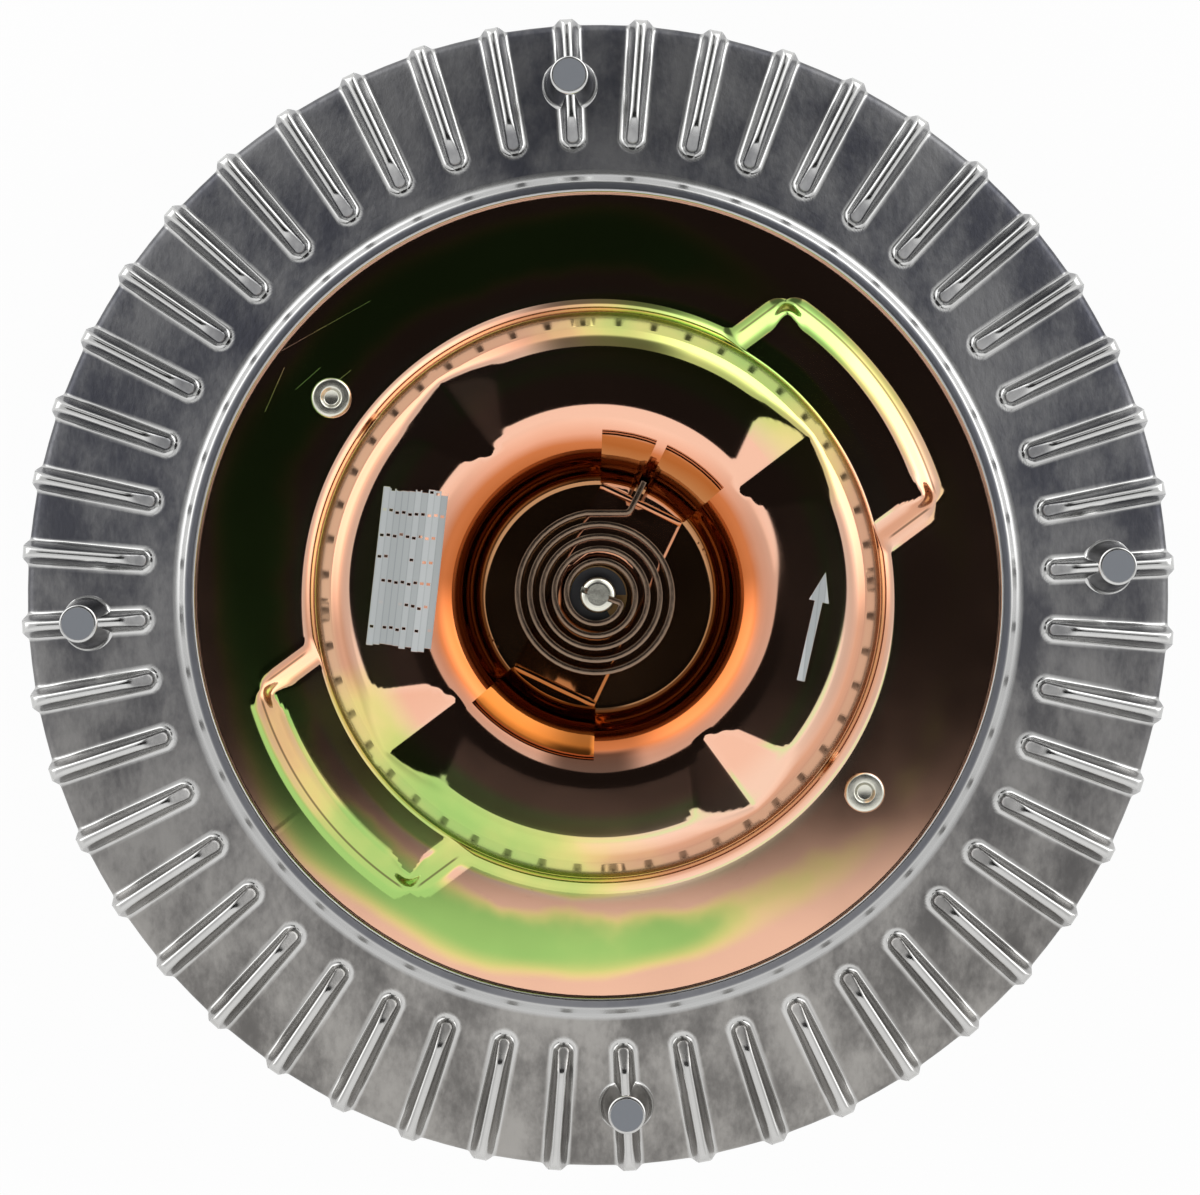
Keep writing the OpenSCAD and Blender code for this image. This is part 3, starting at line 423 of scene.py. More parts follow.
section = bent(
    [
        (26.02, 38.0, 0.5), (26.02, 40.2, 0), (27.72, 40.2, 0), (27.72, 42.0, 0), (26.02, 42.0, 0),
        (26.02, 57.0, 0), (22.5, 57.0, 0), (22.5, 60.0, 0), (68.0, 60.0, 0), (68.0, 73.4, 0),
        (70.3, 73.4, 0), (70.3, 74.9, 0), (71.76, 74.9, 0), (71.76, 73.28, 0), (73.84, 73.28, 0),
        (73.84, 74.9, 0), (75.3, 74.9, 0), (75.3, 76.5, 0), (LIP_R, 76.5, 0.3), (LIP_R, LIP_Z, 0.45),
        (LIP_OUT_R, 79.1, 0.7), (75.5, face_at(75.5), 1.5), (RIM_R, RIM_FRONT_Z, RIM_BEND),
        (RIM_R, RIM_MIDDLE_Z, 0), (RIM_R, RIM_REAR_Z, RIM_BEND), (DRUM_R, 66.4, 3),
        (DRUM_R, REAR_WALL_Z, 2), (49.0, REAR_WALL_Z, 1.5), (49.0, 46.0, 0.4), (46.0, 46.0, 0),
        (46.0, 42.0, 0.6), (42.5, 42.0, 0.6), (41.5, 51.0, 2), (35.5, 51.0, 2), (33.5, 38.0, 1),
    ],
    20.0,
)
rim = max(range(len(section)), key=lambda i: section[i][0] - abs(section[i][1] - RIM_MIDDLE_Z))
front = split(split(section[: rim + 1], 73.0, 74.2, 0.4), 76.2, 78.2, 0.5)
front = split(split(split(front, 78.6, 82.7, 0.33), 83.3, 88.6, 0.75), 90.6, 101.0, 2.6)
rear = split(split(section[rim:], 63.4, 72.0, 1.4), 79.0, 101.0, 4.4)
section = front + rear[1:]
rim = len(front) - 1
STATIONS, SPARE = 12, 8
offsets = np.array([0, 0.3, 0.56, 0.78, 0.95, 1.2, 1.42, 1.64, 1.86, 2.12, 2.45, 2.9])
steps = RIB_COUNT * STATIONS * 2
housing = turned("housing_casting", section, steps)

# The points from the lip's foot to the rear wall gather along the ribs. Elsewhere only every eighth is needed
points = points_of(housing)
outline = np.array(section)
row = np.array(
    [np.argmin(np.hypot(outline[:, 0] - math.hypot(x, y), outline[:, 1] - z)) for x, y, z in points]
)
radius, height = outline[row].T
station = np.rint(np.arctan2(points[:, 1], points[:, 0]) / (2 * math.pi / steps)).astype(int) % steps
ribbed = radius > np.where(row <= rim, LIP_FOOT_R + 0.6, REAR_START_R - 1.5)
rib = (station + STATIONS) // (2 * STATIONS)
side = station - rib * 2 * STATIONS
half_pitch = math.pi / RIB_COUNT
near = np.abs(side)
wide = offsets[np.minimum(near, STATIONS - 1)] * (1 + 0.009 * np.clip(radius - 84, -8, 20))
spread = np.where(near < STATIONS, np.arcsin(wide / np.maximum(radius, 50)), half_pitch)
turn = np.where(
    ribbed,
    rib * 2 * half_pitch + np.sign(side) * spread,
    (station - station % SPARE) * 2 * math.pi / steps,
) + RIB_PHASE
across = np.where(ribbed, radius * np.sin(spread), FAR)


def rib_height(full, across, draft):
    """Height of a rib's section above its root: round crest, drafted flank, hollow root."""
    edge = CREST_R * math.cos(draft)
    shoulder = CREST_R * (1 - math.sin(draft))
    crest = CREST_R - np.sqrt(np.maximum(CREST_R**2 - across**2, 0))
    flank = shoulder + (across - edge) / math.tan(draft)
    solid = full - np.where(across < edge, crest, flank)
    foot = edge + (full - shoulder) * math.tan(draft)
    lean = math.pi / 2 - draft
    middle = foot + ROOT_R * math.tan(lean / 2)
    hollow = ROOT_R - np.sqrt(np.maximum(ROOT_R**2 - np.clip(middle - across, 0, ROOT_R) ** 2, 0))
    return np.where(across < middle - ROOT_R * math.sin(lean), solid, hollow)


tangent = np.gradient(outline, axis=0)
lean = np.arctan2(-tangent[:, 1], tangent[:, 0])[row]
on_front = ribbed & (row < rim)
on_bend = on_front & (radius > BEND_START_R)
tip_z = crest_at(TIP_R - TIP_ROUND) - TIP_ROUND
goal_r = np.where(on_bend, TIP_R - TIP_ROUND + TIP_ROUND * np.sin(np.clip(lean, 0, math.pi / 2)), radius)
goal_z = np.where(on_bend, tip_z + TIP_ROUND * np.cos(np.clip(lean, 0, math.pi / 2)), crest_at(radius))
goal_r = np.where(row == rim, TIP_R, goal_r)
ramp = RAMP_FOOT + (radius - RIB_START_R) / (RIB_CREST_START_R - RIB_START_R) * (RIB_H - RAMP_FOOT)
limit = np.maximum(lesser(ramp, goal_z - height, 0.7), 0.02)
reach = np.hypot(across, np.maximum(RIB_START_R + RIB_END_ROUND - radius, 0))
ease = 0.4 + 1.5 * np.clip((RIB_CREST_START_R - 0.3 - radius) / 2, 0, 1)
rise = lesser(rib_height(crest_at(np.minimum(radius, RIM_R)) - height, reach, FRONT_DRAFT), limit, ease)
rise = np.where(on_front, np.maximum(rise, 0), 0)
share = np.where(on_front, rise / np.maximum(limit, 1e-6), 0)
share = np.where(row == rim, np.sqrt(np.clip(1 - (across / TIP_HALF_W) ** 2, 0, 1)), share)

along = np.zeros(len(outline))
along[rim:] = np.concatenate([[0], np.cumsum(np.hypot(*np.diff(outline[rim:], axis=0).T))])
on_rear = ribbed & (row > rim) & (radius > REAR_START_R)
rear_bend = on_rear & (radius > BEND_START_R)
rear_lean = np.clip(math.pi - np.abs(lean), 0, math.pi / 2)
drum = on_rear & ~rear_bend & (radius < DRUM_R + 3.2) & (height > REAR_WALL_Z + 0.01)
rear_goal_r = np.where(rear_bend, TIP_R - TIP_ROUND + TIP_ROUND * np.sin(rear_lean), radius)
rear_goal_z = np.where(rear_bend, REAR_CREST_Z + TIP_ROUND * (1 - np.cos(rear_lean)), REAR_CREST_Z)
wall = np.flatnonzero(np.isin(np.arange(len(outline)), np.unique(row[drum])))
above, below = wall[0] - 1, wall[-1] + 1
part = (along[row] - along[above]) / (along[below] - along[above])
drum_goal_r = outline[above, 0] + part * (outline[below, 0] - outline[above, 0])
rear_goal_r = np.where(drum, drum_goal_r, rear_goal_r)
rear_ramp = (radius - REAR_START_R) / REAR_RAMP * (REAR_WALL_Z - REAR_CREST_Z)
rear_ramp = np.where(height < REAR_WALL_Z + 0.01, rear_ramp, FAR)
rear_limit = greater(np.minimum(rear_ramp, height - rear_goal_z), np.zeros_like(ramp), 0.8)
drop = lesser(rib_height(height - REAR_CREST_Z, across, REAR_DRAFT), rear_limit, 0.7)
drop = np.where(on_rear, np.maximum(drop, 0), 0)
rear_share = np.where(on_rear, drop / np.maximum(rear_limit, 1e-6), 0)

# The worn mark is tumbling wear on the rib crests and edges, and a painted highlight on the hollow root
# fillets, where no wear reaches
root = np.clip((1.2 - rise) / 0.6, 0, 1)
crest = np.clip((rise - limit + 1.0) / 0.6, 0, 1) * np.clip((radius - RIB_CREST_START_R + 1.4) / 1.6, 0, 1)
edge_wear_and_root_highlight = np.clip((2.75 - reach) / 0.35, 0, 1) * (0.42 + 0.58 * np.maximum(root, crest))
edge_wear_and_root_highlight = np.maximum(edge_wear_and_root_highlight * on_front, np.clip(drop / 2.0, 0, 1))
r_new = radius + (goal_r - radius) * share + (rear_goal_r - radius) * rear_share * on_rear
z_new = height + rise - drop
move_points(housing, np.stack([r_new * np.cos(turn), r_new * np.sin(turn), z_new], axis=1))
mark(housing, "worn", edge_wear_and_root_highlight)
lip = np.interp(radius, [LIP_R, 72.8, 73.0, 74.0, 74.25, 75.9, 76.7], [1, 1, 0.15, 0.15, 1, 1, 0])
mark(housing, "rolled", np.where(row <= rim, lip * (height > 76.2), radius < 50))
mark(housing, "matt", 0.0)
weld(housing)

# Ejector pads on four ribs, bosses round the fan's bolt holes, and the ring lands inside
extras = []
PAD_R, PAD_TOP_R, PAD_RISE, PAD_LEAN = 92.9, 3.4, 0.7, 0.7
pad_foot_z = face_at(PAD_R)
pad_top_z = crest_at(PAD_R) + PAD_RISE
pad_section = bent(
    [
        (0, pad_top_z, 0), (2.85, pad_top_z, 0), (PAD_TOP_R, pad_top_z, 0.45), (4.5, pad_foot_z, 1.5),
        (5.7, pad_foot_z - 0.04, 0), (5.5, pad_foot_z - 2.0, 0), (0, pad_foot_z - 2.0, 0),
    ]
)
for k in range(4):
    pad = turned("pad", pad_section, 48)
    spot = points_of(pad)
    low = np.clip((pad_top_z - spot[:, 2]) / (pad_top_z - pad_foot_z), 0, 1)
    spot[:, 2] -= spot[:, 0] * FACE_SLOPE * low
    turn = RIB_PHASE + k * math.pi / 2
    off = np.hypot(*spot[:, :2].T)
    mark(pad, "matt", (low < 0.01) & (off < 3.0))
    mark(pad, "worn", np.clip((5.6 - off) / 0.4, 0, 1))
    x, y = spot[:, 0] + PAD_R + PAD_LEAN * (1 - 2 * low), spot[:, 1]
    spot[:, 0], spot[:, 1] = x * math.cos(turn) - y * math.sin(turn), x * math.sin(turn) + y * math.cos(turn)
    move_points(pad, spot)
    extras.append(pad)

FAN_BOLT_R = 114.3 / 2
boss_section = bent(
    [
        (3.4, 53.0, 0), (3.4, 46.0, 0.5), (10.0, 46.0, 0.8),
        (10.0, 52.0, 1.2), (12.0, 52.05, 0), (12.0, 53.0, 0),
    ]
)
for k in range(4):
    boss = turned("boss", boss_section, 64)
    spot = points_of(boss)
    turn = math.pi / 4 + k * math.pi / 2
    spot[:, 0] += FAN_BOLT_R * math.cos(turn)
    spot[:, 1] += FAN_BOLT_R * math.sin(turn)
    move_points(boss, spot)
    extras.append(boss)

LAND_T, LAND_PITCH, LAND_COUNT, LAND_START_R = 2.2, 6.0, 6, 31.0
LAND_FOOT_Z, LAND_TOP_Z = 59.5, 66.0
for k in range(LAND_COUNT):
    r = LAND_START_R + k * LAND_PITCH
    low, high = r - LAND_T / 2, r + LAND_T / 2
    land_section = [(low, LAND_FOOT_Z), (high, LAND_FOOT_Z), (high, LAND_TOP_Z), (low, LAND_TOP_Z)]
    extras.append(turned("land", land_section, 120))
for piece in extras:
    if "worn" not in piece.data.attributes:
        mark(piece, "worn", 1.0)
        mark(piece, "matt", 0.0)
    mark(piece, "rolled", 0.0)
joined(housing, extras)
shade(housing, 40)


def tumbled_casting(start):
    place = here(start)
    x, y, z = axes(place)
    # worn carries tumbling wear on crests and edges, and a painted highlight on the rib roots
    worn = start.node("Attribute", {"attribute_name": "worn"}, output="Fac")
    rolled = start.node("Attribute", {"attribute_name": "rolled"}, output="Fac")
    matt = start.node("Attribute", {"attribute_name": "matt"}, output="Fac")
    streak = place.node("Mapping", {}, {"Vector": place, "Scale": (1.0, 0.55, 1.0)})
    cloud = mottle(streak, 95.0, 7.0, 0.6)
    blot = mottle(place, 38.0, 3.0, 0.5)
    fine = mottle(streak, 900.0, 3.0, 0.6)
    plain = 1 - rolled
    radius = (x * x + y * y).math("SQRT") * 1000
    grime = eased(cloud * 0.6 + blot * 0.4 + (fine - 0.5) * 0.16, 0.36, 0.64) * (1 - worn * 0.9)
    # Painted light: side runs from 0 towards +Y to 1 towards -Y, and the casting's colour, its grime colour
    # and its bright rib edges are made lighter or darker by it, as the light falls on each side
    side = eased(y * -1000, -30.0, 90.0)
    clean = mixed(side, (0.19, 0.19, 0.195), (0.37, 0.355, 0.335))
    clean = mixed(worn * (1 - side * 0.3), clean, (0.66, 0.66, 0.65))
    colour = mixed(grime, clean, mixed(side, (0.066, 0.068, 0.082), (0.15, 0.143, 0.136)))
    colour = mixed(rolled, colour, (0.48, 0.48, 0.475))
    colour = mixed(matt, colour, (0.27, 0.285, 0.31))
    band = eased(radius, 72.85, 73.05) * (1 - eased(radius, 74.0, 74.25)) * eased(z, 0.0775, 0.078)
    colour = mixed(band * 0.75, colour, (0.12, 0.125, 0.145))
    rings = tool_marks(place, 0.00025)
    cast_rough = 0.34 + fine * 0.08 - worn * 0.22 + matt * 0.42
    return {
        "Base Color": colour,
        "Metallic": 1.0,
        "Roughness": cast_rough * plain + (0.14 + rings * 0.12) * rolled,
        "Normal": raised((fine + cloud * 0.7) * plain * (1 - worn), 0.00008, 0.7),
    }


cast_aluminium = finish("cast_aluminium", tumbled_casting)
housing.data.materials.clear()
housing.data.materials.append(cast_aluminium)
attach(housing, "housing")
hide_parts("housing")


# Rotor, divider plate and valve inside
# A turned aluminium rotor on the shaft, a plate of sheet steel under the cover, a bronze bush and
# a valve arm. None of them shows once the cover is on.


def turned_aluminium(start):
    place = here(start)
    rings = tool_marks(place, 0.0004)
    return {
        "Base Color": mixed(rings, (0.62, 0.62, 0.63), (0.70, 0.70, 0.71)),
        "Metallic": 1.0,
        "Roughness": 0.22 + rings * 0.14,
        "Normal": raised(rings, 0.00004, 0.6),
    }


def rolled_steel(start):
    place = here(start)
    haze = mottle(place, 140.0, 4.0)
    return {
        "Base Color": mixed(haze, (0.40, 0.40, 0.41), (0.50, 0.50, 0.50)),
        "Metallic": 1.0,
        "Roughness": 0.28 + haze * 0.16,
        "Normal": raised(haze, 0.00002, 0.4),
    }


def sintered_bronze(start):
    pores = mottle(here(start), 1100.0, 3.0)
    return {
        "Base Color": mixed(pores, (0.46, 0.27, 0.10), (0.60, 0.38, 0.17)),
        "Metallic": 1.0,
        "Roughness": 0.34 + pores * 0.2,
        "Normal": raised(pores, 0.00005, 0.5),
    }


dress(["rotor"], finish("machined_aluminium", turned_aluminium))
plate_steel = finish("plate_steel", rolled_steel)
dress(["divider_plate", "valve_arm"], plate_steel)
dress(["valve_bushing"], finish("bronze", sintered_bronze))


# Front cover
# One steel stamping, zinc plated and dipped in yellow chromate, which shows as gold, pink and green.
# Its edge is held by the rolled lip. The hat, the bowl, two ears and four grooves are pressed
# in one sheet.

SHEET_T, RING_Z, HAT_Z, BOWL_Z = 1.6, 76.5, 90.0, 79.9
EAR_ANGLE, EAR_HALF_W, EAR_R, EAR_H = math.radians(36.5), 21.9, 62.4, 2.6
EAR_SLOPE = math.tan(math.radians(36))
GROOVE_ANGLE, GROOVE_R, GROOVE_DEPTH = math.radians(36.7), 38.3, 1.0
GROOVE_FALL, GROOVE_FLANK = math.tan(math.radians(4.5)), math.tan(math.radians(8))
DRAW_RING_R, DRAW_RING_H, DRAW_RING_W = 22.9, 0.27, 0.35
STRAP_TURN = 64.5
cover_corners = [
    (5.25, BOWL_Z, 0), (21.1, BOWL_Z, 2.6), (27.7, HAT_Z, 12.5), (46.0, HAT_Z, 6.5), (50.5, 84.5, 0.9),
    (51.1, RING_Z, 3.0), (75.0, RING_Z, 0),
]
exact = np.array(bent(cover_corners, 0.5))
path = split(split(bent(cover_corners, 7.0), 12.0, 13.0, 4.5), 35.2, 42.0, 1.0)
path = split(split(path, 54.6, 66.0, 0.52), 22.0, 24.0, 0.25)
COVER_STEPS = 540
cover = turned("cover_stamping", path, COVER_STEPS, closed=False)


def cover_height(x, y):
    """Height of the front of the sheet over a place on the cover."""
    r = np.hypot(x, y)
    z = np.interp(r, exact[:, 0], exact[:, 1])
    from_strap = np.abs((np.degrees(np.arctan2(y, x)) - STRAP_TURN + 90) % 180 - 90)
    drawn = DRAW_RING_H * np.exp(-(((r - DRAW_RING_R) / DRAW_RING_W) ** 2))
    z += drawn * np.clip((from_strap - 27) / 2, 0, 1)
    for k in range(2):
        turn = EAR_ANGLE + k * math.pi
        u, v = x * math.cos(turn) + y * math.sin(turn), y * math.cos(turn) - x * math.sin(turn)
        corner = np.maximum(1 - np.abs(np.abs(v) - EAR_HALF_W - r + EAR_R) / 4.0, 0) ** 2
        out = greater(np.abs(v) - EAR_HALF_W, r - EAR_R, 2.0) * (1 + 1.6 * corner)
        ear = lesser(RING_Z + EAR_H / 2 - out * EAR_SLOPE, RING_Z + EAR_H + 0 * out, 1.0)
        z = np.where(u > 20, greater(z, ear, 1.3), z)
    for k in range(4):
        turn = GROOVE_ANGLE + k * math.pi / 2
        u, v = x * math.cos(turn) + y * math.sin(turn), y * math.cos(turn) - x * math.sin(turn)
        bottom = HAT_Z - GROOVE_DEPTH - (u - GROOVE_R) * GROOVE_FALL
        groove = bottom + (np.sqrt(v * v + 0.09) - 0.3) * GROOVE_FLANK
        z = np.where(u > 20, lesser(z, groove, 0.14 + 0.6 * np.clip((r - 42) / 3, 0, 1)), z)
    return z


# The points crowd at the grooves and at the ears' end walls, and their columns run along those walls
COLUMN_R = 59.0
points = points_of(cover)
angle = np.arctan2(points[:, 1], points[:, 0])
station = np.rint(angle / (2 * math.pi / COVER_STEPS)).astype(int) % COVER_STEPS
fine = np.linspace(0, 2 * math.pi, 7201)
from_groove = np.degrees(np.abs((fine + math.pi / 2) % math.pi - math.pi / 2))
density = np.ones_like(fine)
for middle, wide, more in [(21.5, 4.5, 2.2), (8.0, 9.0, 0.8), (82.0, 9.0, 0.8)]:
    density += more * np.exp(-(((from_groove - middle) / wide) ** 2))
grown = np.concatenate([[0], np.cumsum((density[1:] + density[:-1]) / 2)])
turn = GROOVE_ANGLE + np.interp(station / COVER_STEPS, grown / grown[-1], fine)
radius = np.hypot(points[:, 0], points[:, 1])
off = (turn - EAR_ANGLE + math.pi / 2) % math.pi - math.pi / 2
straight = np.arcsin(np.clip(COLUMN_R * np.sin(off) / np.maximum(radius, 48), -1, 1))
share = np.clip((math.radians(46) - np.abs(off)) / math.radians(18), 0, 1)
turn += (straight - off) * share * np.clip((radius - 49) / 3, 0, 1)
points[:, 0], points[:, 1] = radius * np.cos(turn), radius * np.sin(turn)
points[:, 2] = cover_height(points[:, 0], points[:, 1])
move_points(cover, points)
STEP = 0.02
x, y = points[:, 0], points[:, 1]
slope_x = (cover_height(x + STEP, y) - cover_height(x - STEP, y)) / (2 * STEP)
slope_y = (cover_height(x, y + STEP) - cover_height(x, y - STEP)) / (2 * STEP)
normals = np.stack([-slope_x, -slope_y, np.ones_like(slope_x)], axis=1)
normals /= np.linalg.norm(normals, axis=1)[:, None]
bpy.context.view_layer.objects.active = cover
wall = cover.modifiers.new("sheet", "SOLIDIFY")
wall.thickness = SHEET_T * MM
wall.offset = -1
bpy.ops.object.modifier_apply(modifier=wall.name)
for face in cover.data.polygons:
    face.use_smooth = True
back = len(cover.data.vertices) - len(normals)
normals = np.concatenate([normals, -normals[:back]])
cover.data.normals_split_custom_set_from_vertices([tuple(normal) for normal in normals])


def stripe(x, y, first, last, half_w, soft=0.05):
    """1 on a straight stripe between two places in millimetres."""
    reach = math.hypot(last[0] - first[0], last[1] - first[1])
    c, s = (last[0] - first[0]) / reach, (last[1] - first[1]) / reach
    along = ((x - first[0]) * c + (y - first[1]) * s - reach / 2).math("ABSOLUTE")
    off = ((y - first[1]) * c - (x - first[0]) * s).math("ABSOLUTE")
    ends = 1 - eased(along, reach / 2 - soft, reach / 2 + soft)
    return ends * (1 - eased(off, half_w - soft, half_w + soft))


FILM_ANGLE = math.radians(62)
BAR_PITCH, ROW_PITCH = 1.14, 4.1


def chromate_film(start):
    place = here(start)
    x, y = (part * 1000 for part in axes(place)[:2])
    upright = axes(start.node("TexCoord", output="Normal"))[2].math("ABSOLUTE")
    lean = upright.math("MINIMUM", 1.0).math("ARCCOSINE") / (math.pi / 2)
    drift = mottle(place, 18.0, 2.0, 0.4)
    patch = mottle(place, 60.0, 3.0, 0.5)
    strap = start.node("Attribute", {"attribute_name": "strap"}, output="Fac")
    radius = (x * x + y * y).math("SQRT").math("MAXIMUM", 1.0)
    outer = eased(radius, 38.0, 44.0)
    depth = lean + (drift - 0.40) * 0.42 + (patch - 0.5) * 0.06 + strap * 0.16
    tones = start.node("ValToRGB", {"stops": [
        (0.0, (0.80, 0.52, 0.36)), (0.04, (0.74, 0.60, 0.30)),
        (0.075, (0.66, 0.70, 0.28)), (0.125, (0.90, 0.52, 0.37)),
        (0.28, (0.80, 0.37, 0.23)), (0.37, (0.60, 0.18, 0.06)),
        (0.50, (0.48, 0.13, 0.035)), (0.78, (0.66, 0.38, 0.17)),
    ]}, {"Fac": depth.math("MAXIMUM", (1 - outer) * 0.125)})
    twice_cos, twice_sin = (x * x - y * y) / (radius * radius), x * y * 2 / (radius * radius)
    swing = twice_cos * math.cos(FILM_ANGLE * 2) + twice_sin * math.sin(FILM_ANGLE * 2) + (drift - 0.5) * 0.9
    belt = (radius - 63.5 + (drift - 0.5) * 14.0 + (patch - 0.5) * 6.0) / 8.0
    flat = eased(radius, 54.0, 56.0) * (1 - eased(lean, 0.08, 0.2))
    on_flat = 0.85 - belt * belt * 0.95 - 0.7 * eased(x, 0.0, 50.0)
    thick = (swing * 0.6 + 0.08) * (1 - flat) + on_flat * flat + (patch - 0.5) * 0.7
    leaf = mixed(eased(thick, 0.2, 0.8), (0.88, 0.70, 0.25), (0.36, 0.58, 0.16))
    pale = mixed(flat, mixed(outer * 0.3, tones, (0.92, 0.74, 0.58)), (0.86, 0.50, 0.35))
    film = mixed(eased(thick, 0.0, 0.5) * outer, pale, leaf)
    # Painted shade: the bowl's floor, a recess, is darkened to brown towards its middle; the strap is left
    # out
    film = mixed((1 - eased(radius, 21.5, 26.0)) * (1 - strap) * 0.75, film, (0.34, 0.15, 0.03))
    # The strap takes a deeper brown chromate, and painted shade makes its -Y half darker than its +Y half
    film = mixed(strap * (0.90 - eased(y, -5.0, 5.0) * 0.45), film, (0.36, 0.11, 0.018))
    # Painted shade: a dark line along the crease at the foot of each ear's wall
    beside = (y * math.cos(EAR_ANGLE) - x * math.sin(EAR_ANGLE)).math("ABSOLUTE") - EAR_HALF_W
    crease_shade = (beside.math("MAXIMUM", radius - EAR_R) - 1.0).math("ABSOLUTE")
    corner = eased((beside - radius + EAR_R).math("ABSOLUTE"), 1.2, 2.6)
    crease_shade = (1 - eased(crease_shade, 0.08, 0.30)) * eased(radius, 53.0, 54.5) * corner
    film = mixed(crease_shade * 0.75, film, (0.10, 0.06, 0.03))
    worn = stripe(x, y, (-57, 44), (-41, 53), 0.04, 0.04)
    for a, b in [((-47, 38.5), (-44.5, 40.5)), ((-54.5, 37), (-50, 41)), ((-60, 33), (-56.5, 41))]:
        worn = worn + stripe(x, y, a, b, 0.05, 0.05)

    # Paint marks: a block of upright bars on one side of the hat and a plain arrow on the other
    c, s = math.cos(math.radians(-6.4)), math.sin(math.radians(-6.4))
    u, v = (x + 33.8) * c + (y - 4.6) * s, (y - 4.6) * c - (x + 33.8) * s
    bars, rows = u / BAR_PITCH, v / ROW_PITCH
    bar = start.node("TexWhiteNoise", {"noise_dimensions": "1D"}, {"W": bars.math("FLOOR")}, "Value")
    ends = 1 - eased(v.math("ABSOLUTE") - bar * 0.9, 13.5, 13.7)
    block = ends * (1 - eased(u.math("ABSOLUTE"), 5.7, 5.8))
    cell = rows.math("FLOOR") * 7.3 + bars.math("FLOOR")
    chance = start.node("TexWhiteNoise", {"noise_dimensions": "1D"}, {"W": cell}, "Value")
    gap = ((rows + chance * 0.16).math("FRACT") - 0.5).math("ABSOLUTE")
    middle = (bars.math("FRACT") - 0.5).math("ABSOLUTE")
    missing = (1 - eased(gap, 0.045, 0.075)) * eased(chance, 0.25, 0.3) * (1 - eased(middle, 0.25, 0.33))
    block = block * (1 - missing)
    arrow = stripe(x, y, (35.9, -15.2), (39.1, -1.1), 0.7)
    reach, off = (x - 40.3) * 0.225 + (y - 3.85) * 0.974, (y - 3.85) * 0.225 - (x - 40.3) * 0.974
    head = eased(reach, -5.2, -5.1) * (1 - eased(off.math("ABSOLUTE") + reach * 0.34, 0.0, 0.1))
    paint = block.math("MAXIMUM", arrow).math("MAXIMUM", head)
    seam = eased(middle, 0.36, 0.5)
    ink = mixed(bar * 0.6 + (1 - seam) * 0.4, (0.26, 0.28, 0.28), (0.48, 0.50, 0.50))
    return {
        "Base Color": mixed(paint, film, ink),
        "Metallic": 1 - paint,
        "Roughness": 0.045 + patch * 0.05 + paint * 0.5 + worn * 0.22,
    }


chromated_steel = finish("chromated_steel", chromate_film)
cover.data.materials.clear()
cover.data.materials.append(chromated_steel)
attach(cover, "housing")
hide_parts("front_cover")


# Plate rivets
# Two plated steel rivets that hold the divider plate behind the cover.
# Their heads are set from the front, which leaves a dimple in the middle.

RIVET_R, RIVET_ANGLE = 59.7, math.radians(143.5)
rivet_section = bent(
    [
        (0, 72.48, 0), (3.0, 72.48, 0.2), (3.2, 73.38, 0), (1.9, 73.38, 0), (1.9, 76.52, 0),
        (3.6, 76.52, 0.1), (3.6, 78.02, 0.6), (1.9, 78.02, 0.35), (1.3, 77.35, 0.3), (0, 77.25, 0),
    ]
)
rivets = []
for k in range(2):
    rivet = turned("plate_rivet", rivet_section, 64)
    spot = points_of(rivet)
    spot[:, 0] += RIVET_R * math.cos(RIVET_ANGLE + k * math.pi)
    spot[:, 1] += RIVET_R * math.sin(RIVET_ANGLE + k * math.pi)
    move_points(rivet, spot)
    rivets.append(rivet)
rivet_pair = joined(rivets[0], rivets[1:])
shade(rivet_pair, 40)


def bright_zinc(start):
    place = here(start)
    haze = mottle(place, 500.0, 4.0)
    return {
        "Base Color": mixed(haze, (0.64, 0.63, 0.54), (0.80, 0.79, 0.70)),
        "Metallic": 1.0,
        "Roughness": 0.16 + haze * 0.14,
        "Normal": raised(haze, 0.00003, 0.5),
    }


plated_steel = finish("plated_steel", bright_zinc)
rivet_pair.data.materials.clear()
rivet_pair.data.materials.append(plated_steel)
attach(rivet_pair, "housing")
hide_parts("plate_rivets")


# Valve shaft
# A plated pin through the bush in the bowl's floor.
# The slot across its end takes the inner end of the coil.

dress(["valve_shaft"], plated_steel)


# Coil bracket
# A strap of the same chromated steel across the bowl, its two ends bent up along the bowl's wall.
# One end is slotted for the coil's tail.

